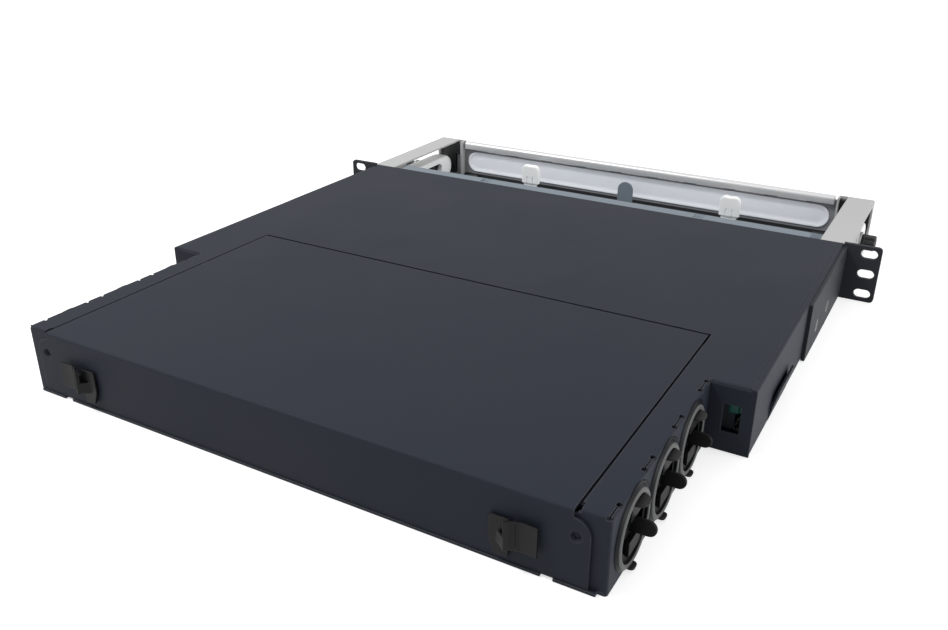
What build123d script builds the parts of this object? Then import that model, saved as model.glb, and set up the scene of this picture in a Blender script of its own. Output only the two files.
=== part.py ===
from build123d import *
import os
from math import cos, radians, sin

os.makedirs("parts", exist_ok=True)

# Millimetres. X runs to the right as seen from the door, Y runs from the door to the back, Z is up.
# The origin is the middle of the ear slots, in the plane that rests on the rack's rails.

# Rack ears
EAR_SPAN = 482.6
EAR_REACH = 27.3
EAR_HEIGHT = 44.0
EAR_SHEET = 2.5
EAR_LEG = 124.0
EAR_CORNER = 3.0
SLOT_EDGE = 8.75
SLOT_RISE = 15.875
SLOT_LENGTH = 12.0
SLOT_WIDTH = 7.0
EAR_SCREW_COUNT = 2
EAR_SCREW_BACK = 30.0
EAR_SCREW_PITCH = 37.0
EAR_SCREW_DROP = 7.0
EAR_SCREW_HEAD = 4.6
EAR_SCREW_SHANK = 2.0
EAR_SCREW_SLOT = 2.4
EAR_SCREW_SLOT_WIDTH = 0.5
SCREW_PLAY = 0.08

# Case
CASE_HEIGHT = 42.2
CASE_RISE = -0.5
BODY_DEPTH = 257.5
STEP_WIDTH = 25.5
TAIL_LENGTH = 141.5
SHEET = 1.5
BEND = 1.7
TOP_STRIP = 3.1
TOP_LEDGE = 8.0
SEAM = 0.3
REAR_LIP = 2.4
REAR_LIP_INSET = 4.5
LIP_NOTCH_INSET = 28.5
LIP_NOTCH = 6.5

# Step windows, louvres and the slits of the tail
WINDOW_WIDTH = 10.0
WINDOW_HEIGHT = 17.5
WINDOW_INSET = 7.0
LOUVRE_BACK = 43.5
LOUVRE_LENGTH = 46.0
LOUVRE_PROUD = 3.3
LOUVRE_DROP = 3.9
LOUVRE_SLANT = 8.0
SLIT_COUNT = 4
SLIT_BACK = 5.6
SLIT_LENGTH = 14.6
SLIT_WIDTH = 0.6
SLIT_NOTCH = 3.0
SLIT_SINK = 1.6

# Cable glands
GLAND_COUNT = 3
GLAND_BACK = 28.8
GLAND_PITCH = 42.4
GLAND_HOLE = 16.5
GLAND_FIT = 0.1
GLAND_LIP = 3.2
GLAND_LIP_PROUD = 2.4
GLAND_WALL = 1.2
GLAND_FLARE = 1.6
GLAND_SNAP = 1.4
GLAND_DEPTH = 2.6
PLUG_DISC = 1.8
PLUG_SKIRT = 1.2
PLUG_WEB = 0.8
TONGUE_REACH = 11.4
TONGUE_SHORT = 4.5
TONGUE_WIDTH = 11.0
TONGUE_THICK = 2.2
TONGUE_OFFSET = 12.2
TONGUE_NOTCH = 1.5
TONGUE_NARROW = 0.7

# Rear cover and its latches
ARM_WIDTH = 15.8
CUT_FORWARD = 55.5
COVER_GAP = 1.5
COVER_FRONT_GAP = 2.5
COVER_LEDGE = 7.0
COVER_LEDGE_FRONT = 12.0
COVER_RELIEF = 5.5
COVER_RELIEF_WIDTH = 1.3
FLAP_INSET = 8.5
FLAP_CORNER = 9.0
FLAP_DROP = 4.2
FLAP_BEND = 1.8
RETURN_FLANGE = 18.5
RETURN_DROP = 3.2
RETURN_NOTCH = 20.0
HOOK_COUNT = 3
HOOK_WIDTH = 30.0
HOOK_REACH = 7.0
HOOK_INSET = 52.7
HOOK_BEAD = 0.9
HOOK_BEAD_DROP = 0.2
HOOK_BEAD_SINK = 0.4
DIMPLE_INSET = 7.0
DIMPLE_RISE = 7.0
DIMPLE_HOLE = 1.7
DIMPLE_MOUTH = 3.1
LATCH_INSET = 45.5
LATCH_DROP = 5.0
LATCH_LENGTH = 26.0
LATCH_HEIGHT = 22.0
LATCH_PROUD = 6.2
LATCH_BASE = 1.4
LATCH_BASE_LENGTH = 17.5
LATCH_CORNER = 3.0
LATCH_LOW_CORNER = 6.0
LATCH_SHELL = 1.3
LATCH_TAIL = 2.4
LATCH_FOOT = 4.5
LATCH_HUMP = 9.0
LATCH_HUMP_LENGTH = 7.0
LATCH_ROUND = 2.5
LATCH_SIDE = 1.5
LATCH_TRAVEL = 6.0
LATCH_NECK = 12.0
LATCH_NECK_HEIGHT = 10.0
LATCH_KEEPER = 2.5
LATCH_KEEPER_HEIGHT = 16.0
LATCH_BOLT = 3.0
LATCH_BOLT_HEIGHT = 6.0
LATCH_SHY = 1.5
LATCH_RIBS = 3
LATCH_BOLT_START = 4.0
LATCH_KEEPER_END = 11.0
RIB_PITCH = 2.6
RIB_ROUND = 0.7
RIB_SUNK = 0.2

# Telescopic slides
SLIDE_PACK = 12.7
SLIDE_HEIGHT = 33.0
SLIDE_FRONT = 3.0
SLIDE_BACK_ROOM = 4.5
SLIDE_SHEET = 1.2
SLIDE_OPEN = 3.5
SLIDE_LIP = 3.2
MIDDLE_HEIGHT = 21.6
MIDDLE_STAND = 2.6
MIDDLE_OPEN = 2.5
MIDDLE_LIP = 2.5
MIDDLE_SETBACK = 1.0
MIDDLE_SHY = 2.5
INNER_HEIGHT = 12.6
INNER_DEPTH = 7.7
INNER_SETBACK = 4.5
INNER_SHORT = 16.0
BALL_GAP = 0.3
BALL_COUNT = 4
CAGE_LENGTH = 150.0
CAGE_SETBACK = 12.0
CAGE_STRIP = 0.8
OUTER_BALL_X = 5.3
INNER_BALL_X = 7.0
RIVET_COUNT = 3
RIVET_INSET = 22.0
RIVET_HEAD = 3.2
RIVET_RISE = 0.9

# Release levers
LEVER_SETBACK = 20.0
LEVER_STAND = 1.3
LEVER_THICK = 3.0
LEVER_HEIGHT = 4.4
LEVER_FRONT = 19.0
LEVER_PIN = 1.5
LEVER_COLLAR = 1.0
LEVER_HEAD = 0.6
LEVER_GAP = 0.1
FLAG_GAP = 2.5
FLAG_LENGTH = 9.5
FLAG_REACH = 1.8
FLAG_WIDTH = 5.6
FLAG_RISE = 8.0
FLAG_CORNER = 3.0
PIN_PLAY = 0.08

# Drawer tray and its front rail
TRAY_SHEET = 1.2
TRAY_LIFT = 0.8
TRAY_JOINT = 0.2
TRAY_OVER = 1.0
TRAY_BACK_HEIGHT = 14.0
TONGUE_PLATE = 26.7
RAIL_DROP = 0.7
RAIL_DEPTH = 12.5
RAIL_STEP = 2.7
RAIL_UNDER = 13.5
RAIL_SIDE_GAP = 0.5
RAIL_CHAMFER = 3.0
RAIL_NOTCH_X = 99.4
RAIL_NOTCH = 8.0
RAIL_LAND = 2.4

# Fibre modules
MODULE_COUNT = 4
MODULE_SETBACK = 4.5
MODULE_LENGTH = 118.0
MODULE_PLAY = 0.3
MODULE_ROOM = 0.8
MODULE_CHAMFER = 8.5
MODULE_WALL = 2.4
MODULE_GROOVE = 3.0
MODULE_GROOVE_RISE = 15.0
MODULE_GROOVE_PITCH = 7.0
MODULE_GROOVE_ENDS = 6.0
MODULE_GROOVE_DEPTH = 1.0
GUIDE_THICK = 2.0
GUIDE_HEIGHT = 13.0
GUIDE_ENDS = 4.0
LID_THICK = 1.5
LID_PAD = 0.8
LID_EDGE = 0.6
LID_ENDS = 6.0
LID_BORDER = 8.0
LID_NOTCH = 7.0
LID_SHIFT = 4.0
LID_CORNER = 4.0
ADAPTER_WIDTH = 25.8
ADAPTER_HEIGHT = 9.4
ADAPTER_REACH = 10.0
ADAPTER_FLANGE = 1.5
ADAPTER_BORDER = 1.6
ADAPTER_RIB = 0.6
ADAPTER_RIB_INSET = 2.0
ADAPTER_PITCH = 30.5
ADAPTER_ROW_PITCH = 13.4
PORTS = 4
PORT_PITCH = 6.25
PLUG_STRIP = 0.8
PLUG_LENGTH = 4.0
PLUG_WIDTH = 4.2
PLUG_HEIGHT = 5.6
PLUG_INSET = 0.4
MPO_WIDTH = 18.0
MPO_HEIGHT = 10.5
MPO_REACH = 11.0
MPO_SPREAD = 24.0
MPO_FLANGE = 1.6
MPO_BORDER = 1.5
MPO_KEY = 0.9
MPO_KEY_WIDTH = 8.0

# Slack spools and tie bars
SPOOL_RADIUS = 20.0
SPOOL_FLANGE = 6.0
SPOOL_PLATE = 1.5
SPOOL_WALL = 3.0
SPOOL_HEIGHT = 22.0
SPOOL_NOTCH = 10.0
SPOOL_X = 90.0
SPOOL_BACK = 58.0
REAR_SPOOL_RADIUS = 30.0
REAR_SPOOL_INSET = 63.0
REAR_SPOOL_BACK = 64.5
TIE_BAR_INSET = 40.5
TIE_BAR_WIDTH = 14.0
TIE_BAR_HEIGHT = 11.0
TIE_BAR_FOOT = 8.0
TIE_BAR_FRONT = 10.5
TIE_BAR_BACK = 13.0
TIE_SLOTS = 6
TIE_SLOT_WIDTH = 2.4
TIE_SLOT_LENGTH = 6.0
TIE_SLOT_SPREAD = 7.2
TIE_SLOT_END = 14.0

# Front trough
TROUGH_CLEAR = 1.0
TROUGH_LENGTH = 125.5
TROUGH_SKIRT = 0.3
BRACKET_OVER = 4.0
BRACKET_SHEET = 1.5
BRACKET_FLANGE = 22.0
BRACKET_FOOT = 13.0
BRACKET_DROP = 0.7
BRACKET_LEG = 27.5
BRACKET_LEG_GAP = 1.0
BRACKET_HOLE = 1.6
BRACKET_HOLE_BACK = 35.0
BRACKET_HOLE_DROP = 7.9
CUTOUT_FRONT = 8.5
CUTOUT_LENGTH = 64.5
CUTOUT_SILL = 10.6
CUTOUT_LINTEL = 1.0
CUTOUT_CORNER = 9.0
POST_INSET = 29.5
POST_WIDTH = 10.0
POST_LIFT = 0.5
WEB_WINDOW_INSET = 12.0
WEB_WINDOW_SIDE = 3.0
WEB_WINDOW_SILL = 7.0
WEB_WINDOW_LINTEL = 5.0
TROUGH_EDGE = 10.5
TAB_SPREAD = 100.5
TAB_SETBACK = 21.0
TAB_RIB_RISE = 6.3
TAB_RIB_WIDTH = 9.0
TAB_RIB_SLOPE = 4.0
TAB_WIDTH = 15.0
TAB_STAND = 1.0
TAB_HEIGHT = 20.0
CAP_WALL = 1.75
CAP_SKIN = 2.0
CAP_CROWN = 2.7
CAP_LIFT = 2.6
CAP_CORNER = 6.0
CAP_EDGE = 1.2
CAP_FIT = 0.1
CAP_GROOVE = 0.8
CAP_GROOVE_DEPTH = 0.7
CAP_GROOVE_HEIGHT = 7.5
CAP_GROOVE_PITCH = 6.4

# Fibre exits at the sides
GUIDE_SETBACK = 52.0
GUIDE_LENGTH = 80.0
GUIDE_CLEARANCE = 7.8
GUIDE_CORNER = 12.0
GUIDE_DEPTH = 14.0
GUIDE_ROUND = 4.5
GUIDE_SIDE_GAP = 0.5
EYE_LENGTH = 34.0
EYE_HEIGHT = 15.0
EYE_DROP = 0.5
CORE_PLAY = 0.2
CORE_SETBACK = 3.0
CORE_RIM = 3.0
CORE_BOSS = 2.0
CORE_DISH = 3.0
KNOB_RADIUS = 6.5
KNOB_LENGTH = 10.8
KNOB_STEM = 2.5
KNOB_STEM_IN = 6.3
KNOB_FLUTES = 8
KNOB_FLUTE = 1.3
KNOB_COLLAR = 2.5
KNOB_DISH = 3.0
KNOB_DISH_DEPTH = 1.5
KNOB_FLUTE_OUT = 0.5
KNOB_GAP = 0.2
LUG_WIDTH = 16.0
LUG_ROOT = 2.0
CATCH_THICK = 4.0
CATCH_EDGE = 8.0
CATCH_TAB = 12.0
CATCH_TAB_WIDTH = 10.0
CATCH_GAP = 0.5
CATCH_SIDE = 1.5
CATCH_LIFT = 2.0

# Door
DOOR_PLAY = 1.0
DOOR_SHEET = 2.5
DOOR_SETBACK = 3.0
DOOR_SILL = 2.8
DOOR_TOP = 0.6
DOOR_RAIL_HEIGHT = 7.4
DOOR_RAIL_DEPTH = 7.5
DOOR_RAIL_PROUD = 0.5
DOOR_RAIL_END = 1.5
DOOR_RAIL_SLOT = 3.4
DOOR_RAIL_ROUND = 3.0
LENS_SIDE = 4.5
LENS_HEIGHT = 19.6
LENS_FIT = 0.1
LENS_RIM = 1.2
LENS_THICK = 1.0
DASH_COUNT = 9
DASH_LENGTH = 26.0
DASH_HEIGHT = 1.6
DASH_ENDS = 15.0
HINGE_SETBACK = 4.0
HINGE_RISE = 4.8
HINGE_PIN = 1.5
HINGE_PRESS = 0.03
HINGE_BARREL = 1.1
BARREL_LENGTH = 16.0
PIN_SHORT = 4.0
PIN_OVER = 1.0

# Worked out from the sizes above: the case
CASE_HALF = EAR_SPAN / 2 - EAR_REACH
EAR_OUT = CASE_HALF + EAR_SHEET
SLOT_X = EAR_SPAN / 2 - SLOT_EDGE
TAIL_HALF = CASE_HALF - STEP_WIDTH
CASE_DEPTH = BODY_DEPTH + TAIL_LENGTH
CASE_BOTTOM = CASE_RISE - CASE_HEIGHT / 2
CASE_TOP = CASE_RISE + CASE_HEIGHT / 2
CASE_FLOOR = CASE_BOTTOM + SHEET
CASE_INSIDE = CASE_HALF - SHEET
COVER_UNDER = CASE_TOP - SHEET
LEDGE_TOP = COVER_UNDER - SEAM
CUT_HALF = TAIL_HALF - ARM_WIDTH
CUT_FRONT = BODY_DEPTH - CUT_FORWARD
FLAP_HALF = TAIL_HALF - FLAP_INSET
FLAP_INSIDE = CASE_DEPTH + SEAM
FLAP_FACE = FLAP_INSIDE + SHEET
LATCH_X = TAIL_HALF - LATCH_INSET
LATCH_Z = CASE_RISE - LATCH_DROP
COVER_FRONT = CUT_FRONT + COVER_FRONT_GAP
COVER_HALF = CUT_HALF - COVER_GAP
FLAP_BOTTOM = CASE_FLOOR + SEAM
FLAP_TOP = CASE_TOP - FLAP_DROP
GLAND_NECK = GLAND_HOLE - GLAND_FIT
GLAND_BORE = GLAND_NECK - GLAND_WALL
GLAND_INNER = TAIL_HALF - SHEET - GLAND_DEPTH
EAR_SCREW_Z = CASE_RISE - EAR_SCREW_DROP
EAR_SCREW_Y = [EAR_LEG - EAR_SCREW_BACK - EAR_SCREW_PITCH * i for i in range(EAR_SCREW_COUNT)]
GLAND_Y = [CASE_DEPTH - GLAND_BACK - GLAND_PITCH * i for i in range(GLAND_COUNT)]
TIE_BAR_X = TAIL_HALF - TIE_BAR_INSET

# The drawer and its slides
SLIDE_LENGTH = BODY_DEPTH - SLIDE_FRONT - SLIDE_BACK_ROOM
SLIDE_HALF = SLIDE_HEIGHT / 2
MIDDLE_HALF = MIDDLE_HEIGHT / 2
INNER_HALF = INNER_HEIGHT / 2
MIDDLE_WEB = CASE_INSIDE - MIDDLE_STAND
TRAY_HALF = CASE_INSIDE - SLIDE_PACK
TRAY_INSIDE = TRAY_HALF - TRAY_SHEET
TRAY_BASE = CASE_FLOOR + TRAY_LIFT
TRAY_FLOOR = TRAY_BASE + TRAY_SHEET
TROUGH_BACK = -EAR_SHEET - TROUGH_CLEAR
TRAY_FRONT = TROUGH_BACK + TRAY_JOINT
INNER_FRONT = TROUGH_BACK + INNER_SETBACK
INNER_BACK = INNER_FRONT + SLIDE_LENGTH - INNER_SHORT
TRAY_BACK = INNER_BACK + TRAY_OVER
LEVER_Y = INNER_BACK - LEVER_SETBACK
LEVER_X = TRAY_HALF + SLIDE_SHEET + LEVER_STAND
RAIL_TOP = CASE_TOP - RAIL_DROP
RAIL_UNDER_TOP = RAIL_TOP - RAIL_STEP
MODULE_FRONT = TROUGH_BACK - MODULE_SETBACK
MODULE_BACK = MODULE_FRONT + MODULE_LENGTH
MODULE_PITCH = 2 * TRAY_INSIDE / MODULE_COUNT
MODULE_WIDTH = MODULE_PITCH - GUIDE_THICK - 2 * MODULE_PLAY
MODULE_TOP = RAIL_UNDER_TOP - TRAY_SHEET - MODULE_ROOM - LID_PAD - LID_THICK
MODULE_MIDDLE = (TRAY_FLOOR + MODULE_TOP) / 2
ADAPTERS_ACROSS = int(MODULE_WIDTH // ADAPTER_PITCH)
ADAPTER_ROWS = int((MODULE_TOP - TRAY_FLOOR) // ADAPTER_ROW_PITCH)
SPOOL_Y = TRAY_BACK - SPOOL_BACK

# The trough and its door
TROUGH_FRONT = TROUGH_BACK - TROUGH_LENGTH
TROUGH_BASE = TRAY_BASE - TROUGH_SKIRT
TROUGH_FLOOR = TRAY_FLOOR + TRAY_SHEET
BRACKET_HALF = CASE_HALF + BRACKET_OVER
BRACKET_INSIDE = BRACKET_HALF - BRACKET_SHEET
BRACKET_TOP = CASE_TOP - BRACKET_DROP
EXIT_FRONT = TROUGH_FRONT + CUTOUT_FRONT
EXIT_BACK = EXIT_FRONT + CUTOUT_LENGTH
EXIT_FLOOR = CASE_BOTTOM + CUTOUT_SILL
EXIT_TOP = BRACKET_TOP - BRACKET_SHEET - CUTOUT_LINTEL
POST_X = BRACKET_HALF - POST_INSET
RAIL_HALF = POST_X - RAIL_SIDE_GAP
TAB_Y = TROUGH_FRONT + TAB_SETBACK
TAB_FOOT = TROUGH_FLOOR - TRAY_SHEET / 2 + TAB_RIB_RISE
TAB_TOP = TAB_FOOT + TAB_HEIGHT
GUIDE_Y = TROUGH_FRONT + GUIDE_SETBACK
GUIDE_TOP = BRACKET_TOP - GUIDE_CLEARANCE
GUIDE_OUT = BRACKET_INSIDE - SEAM
EYE_Z = CASE_RISE - EYE_DROP
DOOR_HALF = POST_X - DOOR_PLAY
DOOR_BACK = TROUGH_FRONT + DOOR_SETBACK
DOOR_FRONT = DOOR_BACK - DOOR_SHEET
RAIL_CROWN = CASE_TOP - DOOR_TOP
RAIL_FOOT = RAIL_CROWN - DOOR_RAIL_HEIGHT
LENS_WIDTH = 2 * (DOOR_HALF - LENS_SIDE)
HINGE_Y = TROUGH_FRONT + HINGE_SETBACK
HINGE_Z = CASE_BOTTOM + HINGE_RISE


def block(x0, x1, y0, y1, z0, z1):
    """A box between two corners."""
    return Pos((x0 + x1) / 2, (y0 + y1) / 2, (z0 + z1) / 2) * Box(x1 - x0, y1 - y0, z1 - z0)


def rod(axis, at, radius, start, stop):
    """A round bar along one axis from start to stop, at its two other coordinates."""
    middle = (start + stop) / 2
    bar = Cylinder(radius, stop - start)
    if axis == "X":
        return Pos(middle, at[0], at[1]) * Rot(0, 90, 0) * bar
    if axis == "Y":
        return Pos(at[0], middle, at[1]) * Rot(90, 0, 0) * bar
    return Pos(at[0], at[1], middle) * bar


def sweep_x(face, x0, x1):
    """A face drawn in Y and Z, carried from x0 to x1."""
    return extrude(Plane.YZ.offset(x0) * face, amount=x1 - x0)


def sweep_y(face, y0, y1):
    """A face drawn in X and Z, carried from y0 to y1."""
    return extrude(Plane.XZ.offset(-y0) * face, amount=y0 - y1)


def sweep_z(face, z0, z1):
    """A face drawn in X and Y, carried from z0 to z1."""
    return extrude(Plane.XY.offset(z0) * face, amount=z1 - z0)


def strip(points, thick, radius):
    """The section of a folded sheet, its metal on the left hand of the line through the points."""
    line = FilletPolyline(*points, radius=radius)
    return make_face(offset(line, amount=thick, side=Side.LEFT).edges())


def rounder(axis, at, radius, out, start, stop):
    """What is cut from a square edge to round it: out gives the two signs that point off the solid."""
    centre = (at[0] - out[0] * radius, at[1] - out[1] * radius)
    reach = radius + 1
    spans = [sorted((c, c + s * reach)) for c, s in zip(centre, out)]
    ends = [start, stop]
    if axis == "X":
        corner = block(*ends, *spans[0], *spans[1])
    elif axis == "Y":
        corner = block(*spans[0], *ends, *spans[1])
    else:
        corner = block(*spans[0], *spans[1], *ends)
    return corner - rod(axis, centre, radius, start - 1, stop + 1)


def other_side(piece):
    """The same piece on the left hand, x below zero."""
    return mirror(piece, about=Plane.YZ)


def both(piece):
    """A piece of the right hand and its mirror image, fused."""
    return piece + other_side(piece)


def spread(count, pitch, i):
    """Where the i-th of a row of pieces stands, the row's middle at zero."""
    return (i - (count - 1) / 2) * pitch


def write(name, *solids):
    """One STEP file for a node, of one solid or of a group."""
    shape = solids[0] if len(solids) == 1 else Compound(children=list(solids))
    export_step(shape, f"parts/{name}.step")


def write_pair(name, piece):
    """A right-hand node and its left-hand twin."""
    write(f"{name}_right", piece)
    write(f"{name}_left", other_side(piece))


def chassis_tub():
    """Floor, folded side walls with their top strips, step walls, and the floor under the tail."""
    left, right = -CASE_HALF, CASE_HALF
    line = [(left + TOP_STRIP, CASE_TOP), (left, CASE_TOP), (left, CASE_BOTTOM),
            (right, CASE_BOTTOM), (right, CASE_TOP), (right - TOP_STRIP, CASE_TOP)]
    tub = sweep_y(strip(line, SHEET, BEND), -EAR_SHEET, BODY_DEPTH)
    ledge = block(right - TOP_STRIP - TOP_LEDGE, right - SHEET, -EAR_SHEET, BODY_DEPTH,
                  COVER_UNDER - SHEET, COVER_UNDER)
    step = block(TAIL_HALF - SHEET, CASE_HALF, BODY_DEPTH - SHEET, BODY_DEPTH, CASE_BOTTOM, COVER_UNDER)
    window_side = CASE_HALF - WINDOW_INSET
    step -= block(window_side - WINDOW_WIDTH, window_side, BODY_DEPTH - 2 * SHEET, BODY_DEPTH + SHEET,
                  CASE_RISE - WINDOW_HEIGHT / 2, CASE_RISE + WINDOW_HEIGHT / 2)
    tub += both(ledge + step)
    tub -= both(rounder("Z", (CASE_HALF, BODY_DEPTH), BEND, (1, 1), CASE_BOTTOM - 1, CASE_TOP + 1))
    tub += block(SHEET - TAIL_HALF, TAIL_HALF - SHEET, BODY_DEPTH - SHEET, CASE_DEPTH, CASE_BOTTOM,
                 CASE_FLOOR)
    lip_half = TAIL_HALF - REAR_LIP_INSET
    lip = block(-lip_half, lip_half, CASE_DEPTH - SHEET, CASE_DEPTH + REAR_LIP, CASE_BOTTOM, CASE_FLOOR)
    notch_x = TAIL_HALF - LIP_NOTCH_INSET
    notch = block(notch_x - LIP_NOTCH / 2, notch_x + LIP_NOTCH / 2, CASE_DEPTH + SEAM,
                  CASE_DEPTH + REAR_LIP + 1, CASE_BOTTOM - 1, CASE_FLOOR + 1)
    tub += lip - both(notch) + both(louvre())
    for y in EAR_SCREW_Y:
        hole = rod("X", (y, EAR_SCREW_Z), EAR_SCREW_SHANK + SCREW_PLAY, CASE_INSIDE - 1, CASE_HALF + 1)
        tub -= both(hole)
    return tub


def louvre():
    """A lanced louvre on the side wall, open along its top edge and cut off slantwise at the back."""
    foot = CASE_BOTTOM + BEND / 2
    top = CASE_RISE - LOUVRE_DROP
    gap = LOUVRE_PROUD - SHEET
    face = make_face(Polyline((CASE_HALF, foot), (CASE_HALF + LOUVRE_PROUD, top), (CASE_HALF + gap, top),
                              (CASE_HALF, (foot + top) / 2), close=True))
    end = BODY_DEPTH - LOUVRE_BACK
    fin = sweep_y(face, end - LOUVRE_LENGTH, end)
    corners = [(end + 1, top - LOUVRE_SLANT), (end + 1, top + 1), (end - LOUVRE_SLANT, top + 1)]
    cut = make_face(Polyline(*corners, close=True))
    return fin - sweep_x(cut, CASE_HALF - SHEET, CASE_HALF + LOUVRE_PROUD + 1)


def top_cover():
    """The sheet over the case: a wide front, two arms beside the rear cover and the tail's side walls."""
    edge = CASE_HALF - TOP_STRIP - SEAM
    sheet = block(-edge, edge, SEAM - EAR_SHEET, BODY_DEPTH, COVER_UNDER, CASE_TOP)
    sheet -= both(rounder("X", (BODY_DEPTH, CASE_TOP), SHEET, (1, 1), TAIL_HALF, edge + 1))
    sheet -= block(-CUT_HALF, CUT_HALF, CUT_FRONT, BODY_DEPTH + 1, COVER_UNDER - 1, CASE_TOP + 1)
    line = [(TAIL_HALF, CASE_BOTTOM), (TAIL_HALF, CASE_TOP), (CUT_HALF, CASE_TOP)]
    arm = sweep_y(strip(line, SHEET, BEND), BODY_DEPTH, CASE_DEPTH)
    flange = block(TAIL_HALF - RETURN_FLANGE, TAIL_HALF, CASE_DEPTH - SHEET, CASE_DEPTH, CASE_FLOOR,
                   CASE_TOP)
    flange -= block(CUT_HALF - RETURN_NOTCH, CUT_HALF, CASE_DEPTH - 2 * SHEET, CASE_DEPTH + 1,
                    CASE_TOP - RETURN_DROP, CASE_TOP + 1)
    arm += flange
    arm -= rounder("Z", (TAIL_HALF, CASE_DEPTH), BEND, (1, 1), CASE_BOTTOM - 1, CASE_TOP + 1)
    arm -= rounder("X", (CASE_DEPTH, CASE_TOP), BEND, (1, 1), CUT_HALF - 1, TAIL_HALF + 1)
    ledge_front, ledge_back = CUT_FRONT + COVER_LEDGE_FRONT, CASE_DEPTH - COVER_RELIEF
    arm += block(CUT_HALF - COVER_LEDGE, CUT_HALF + SHEET, ledge_front, ledge_back, LEDGE_TOP - SHEET,
                 LEDGE_TOP)
    arm += block(CUT_HALF, CUT_HALF + SHEET, ledge_front, ledge_back, LEDGE_TOP - SHEET, COVER_UNDER)
    arm -= block(CUT_HALF - 1, CUT_HALF + COVER_RELIEF_WIDTH, ledge_back, CASE_DEPTH + 1, COVER_UNDER - SEAM,
                 CASE_TOP + 1)
    for y in GLAND_Y:
        arm -= rod("X", (y, CASE_RISE), GLAND_HOLE, TAIL_HALF - 2 * SHEET, TAIL_HALF + SHEET)
    return sheet + both(arm) - both(slits())


def slits():
    """Pairs of small square notches along the tail's top edge, each pair joined by a saw-thin slit."""
    cuts = []
    half = SLIT_LENGTH / 2
    slit_x = TAIL_HALF - BEND - SLIT_WIDTH / 2
    floor = CASE_TOP - SLIT_SINK
    for i in range(SLIT_COUNT):
        y = CASE_DEPTH - SLIT_BACK - GLAND_PITCH * i
        pair = block(slit_x, slit_x + SLIT_WIDTH, y - half, y + half, floor, CASE_TOP + 1)
        for end in (y - half, y + half - SLIT_NOTCH):
            pair += block(slit_x - 1, TAIL_HALF + 1, end, end + SLIT_NOTCH, floor, CASE_TOP + 1)
        cuts.append(pair)
    return Part() + cuts


def ear():
    """An L of thick sheet: the slotted flange on the rack rail and a long leg along the case."""
    half_span = EAR_SPAN / 2
    flange = block(CASE_HALF, half_span, -EAR_SHEET, 0, -EAR_HEIGHT / 2, EAR_HEIGHT / 2)
    for side in (-1, 1):
        corner = (half_span, side * EAR_HEIGHT / 2)
        flange -= rounder("Y", corner, EAR_CORNER, (1, side), -EAR_SHEET - 1, 1)
    for step in (-1, 0, 1):
        slot = Pos(SLOT_X, step * SLOT_RISE) * SlotOverall(SLOT_LENGTH, SLOT_WIDTH)
        flange -= sweep_y(slot, -EAR_SHEET - 1, 1)
    leg = block(CASE_HALF, EAR_OUT, -EAR_SHEET, EAR_LEG, CASE_BOTTOM, CASE_TOP - BEND)
    for y in EAR_SCREW_Y:
        leg -= rod("X", (y, EAR_SCREW_Z), EAR_SCREW_SHANK + SCREW_PLAY, CASE_HALF - 1, EAR_OUT + 1)
        leg -= ear_screw_cone(y, SCREW_PLAY)
    return flange + leg


def ear_screw_cone(y, play):
    """The countersunk head of an ear screw, its wide face flush with the leg."""
    depth = min(EAR_SCREW_HEAD - EAR_SCREW_SHANK, EAR_SHEET)
    cone = Cone(EAR_SCREW_SHANK + play, EAR_SCREW_HEAD + play, depth)
    return Pos(EAR_OUT - depth / 2, y, EAR_SCREW_Z) * Rot(0, 90, 0) * cone


def ear_screws():
    """Countersunk screws through both ears, with a cross slot in each head."""
    screws = []
    long, thin = EAR_SCREW_SLOT, EAR_SCREW_SLOT_WIDTH
    for y in EAR_SCREW_Y:
        screw = ear_screw_cone(y, 0) + rod("X", (y, EAR_SCREW_Z), EAR_SCREW_SHANK, CASE_INSIDE, EAR_OUT)
        for wide, high in ((long, thin), (thin, long)):
            screw -= block(EAR_OUT - 1, EAR_OUT + 1, y - wide, y + wide, EAR_SCREW_Z - high,
                           EAR_SCREW_Z + high)
        screws += [screw, other_side(screw)]
    return screws


def gland_ring(y):
    """A moulded ring through the tail's wall: a domed flange, a thin bore tube and a snap edge inside."""
    wall_out, wall_in = TAIL_HALF, TAIL_HALF - SHEET
    rim = GLAND_NECK + GLAND_LIP
    snap = GLAND_NECK + GLAND_SNAP
    crown = wall_out + GLAND_FLARE
    tube = wall_out + GLAND_LIP_PROUD - GLAND_WALL / 2
    inside = Polyline((GLAND_BORE, tube), (GLAND_BORE, GLAND_INNER), (snap, GLAND_INNER), (snap, wall_in),
                      (GLAND_NECK, wall_in), (GLAND_NECK, wall_out), (rim, wall_out))
    dome = ThreePointArc((rim, wall_out), (GLAND_NECK + 0.75 * GLAND_LIP, wall_out + 0.7 * GLAND_FLARE),
                         (GLAND_NECK, crown))
    rise = Line((GLAND_NECK, crown), (GLAND_NECK, tube))
    top = ThreePointArc((GLAND_NECK, tube), (GLAND_NECK - GLAND_WALL / 2, tube + GLAND_WALL / 2),
                        (GLAND_BORE, tube))
    face = make_face(inside.edges() + dome.edges() + rise.edges() + top.edges())
    ring = revolve(Plane.XY * face, axis=Axis.Y)
    return Pos(0, y, CASE_RISE) * Rot(0, 0, -90) * ring


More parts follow.
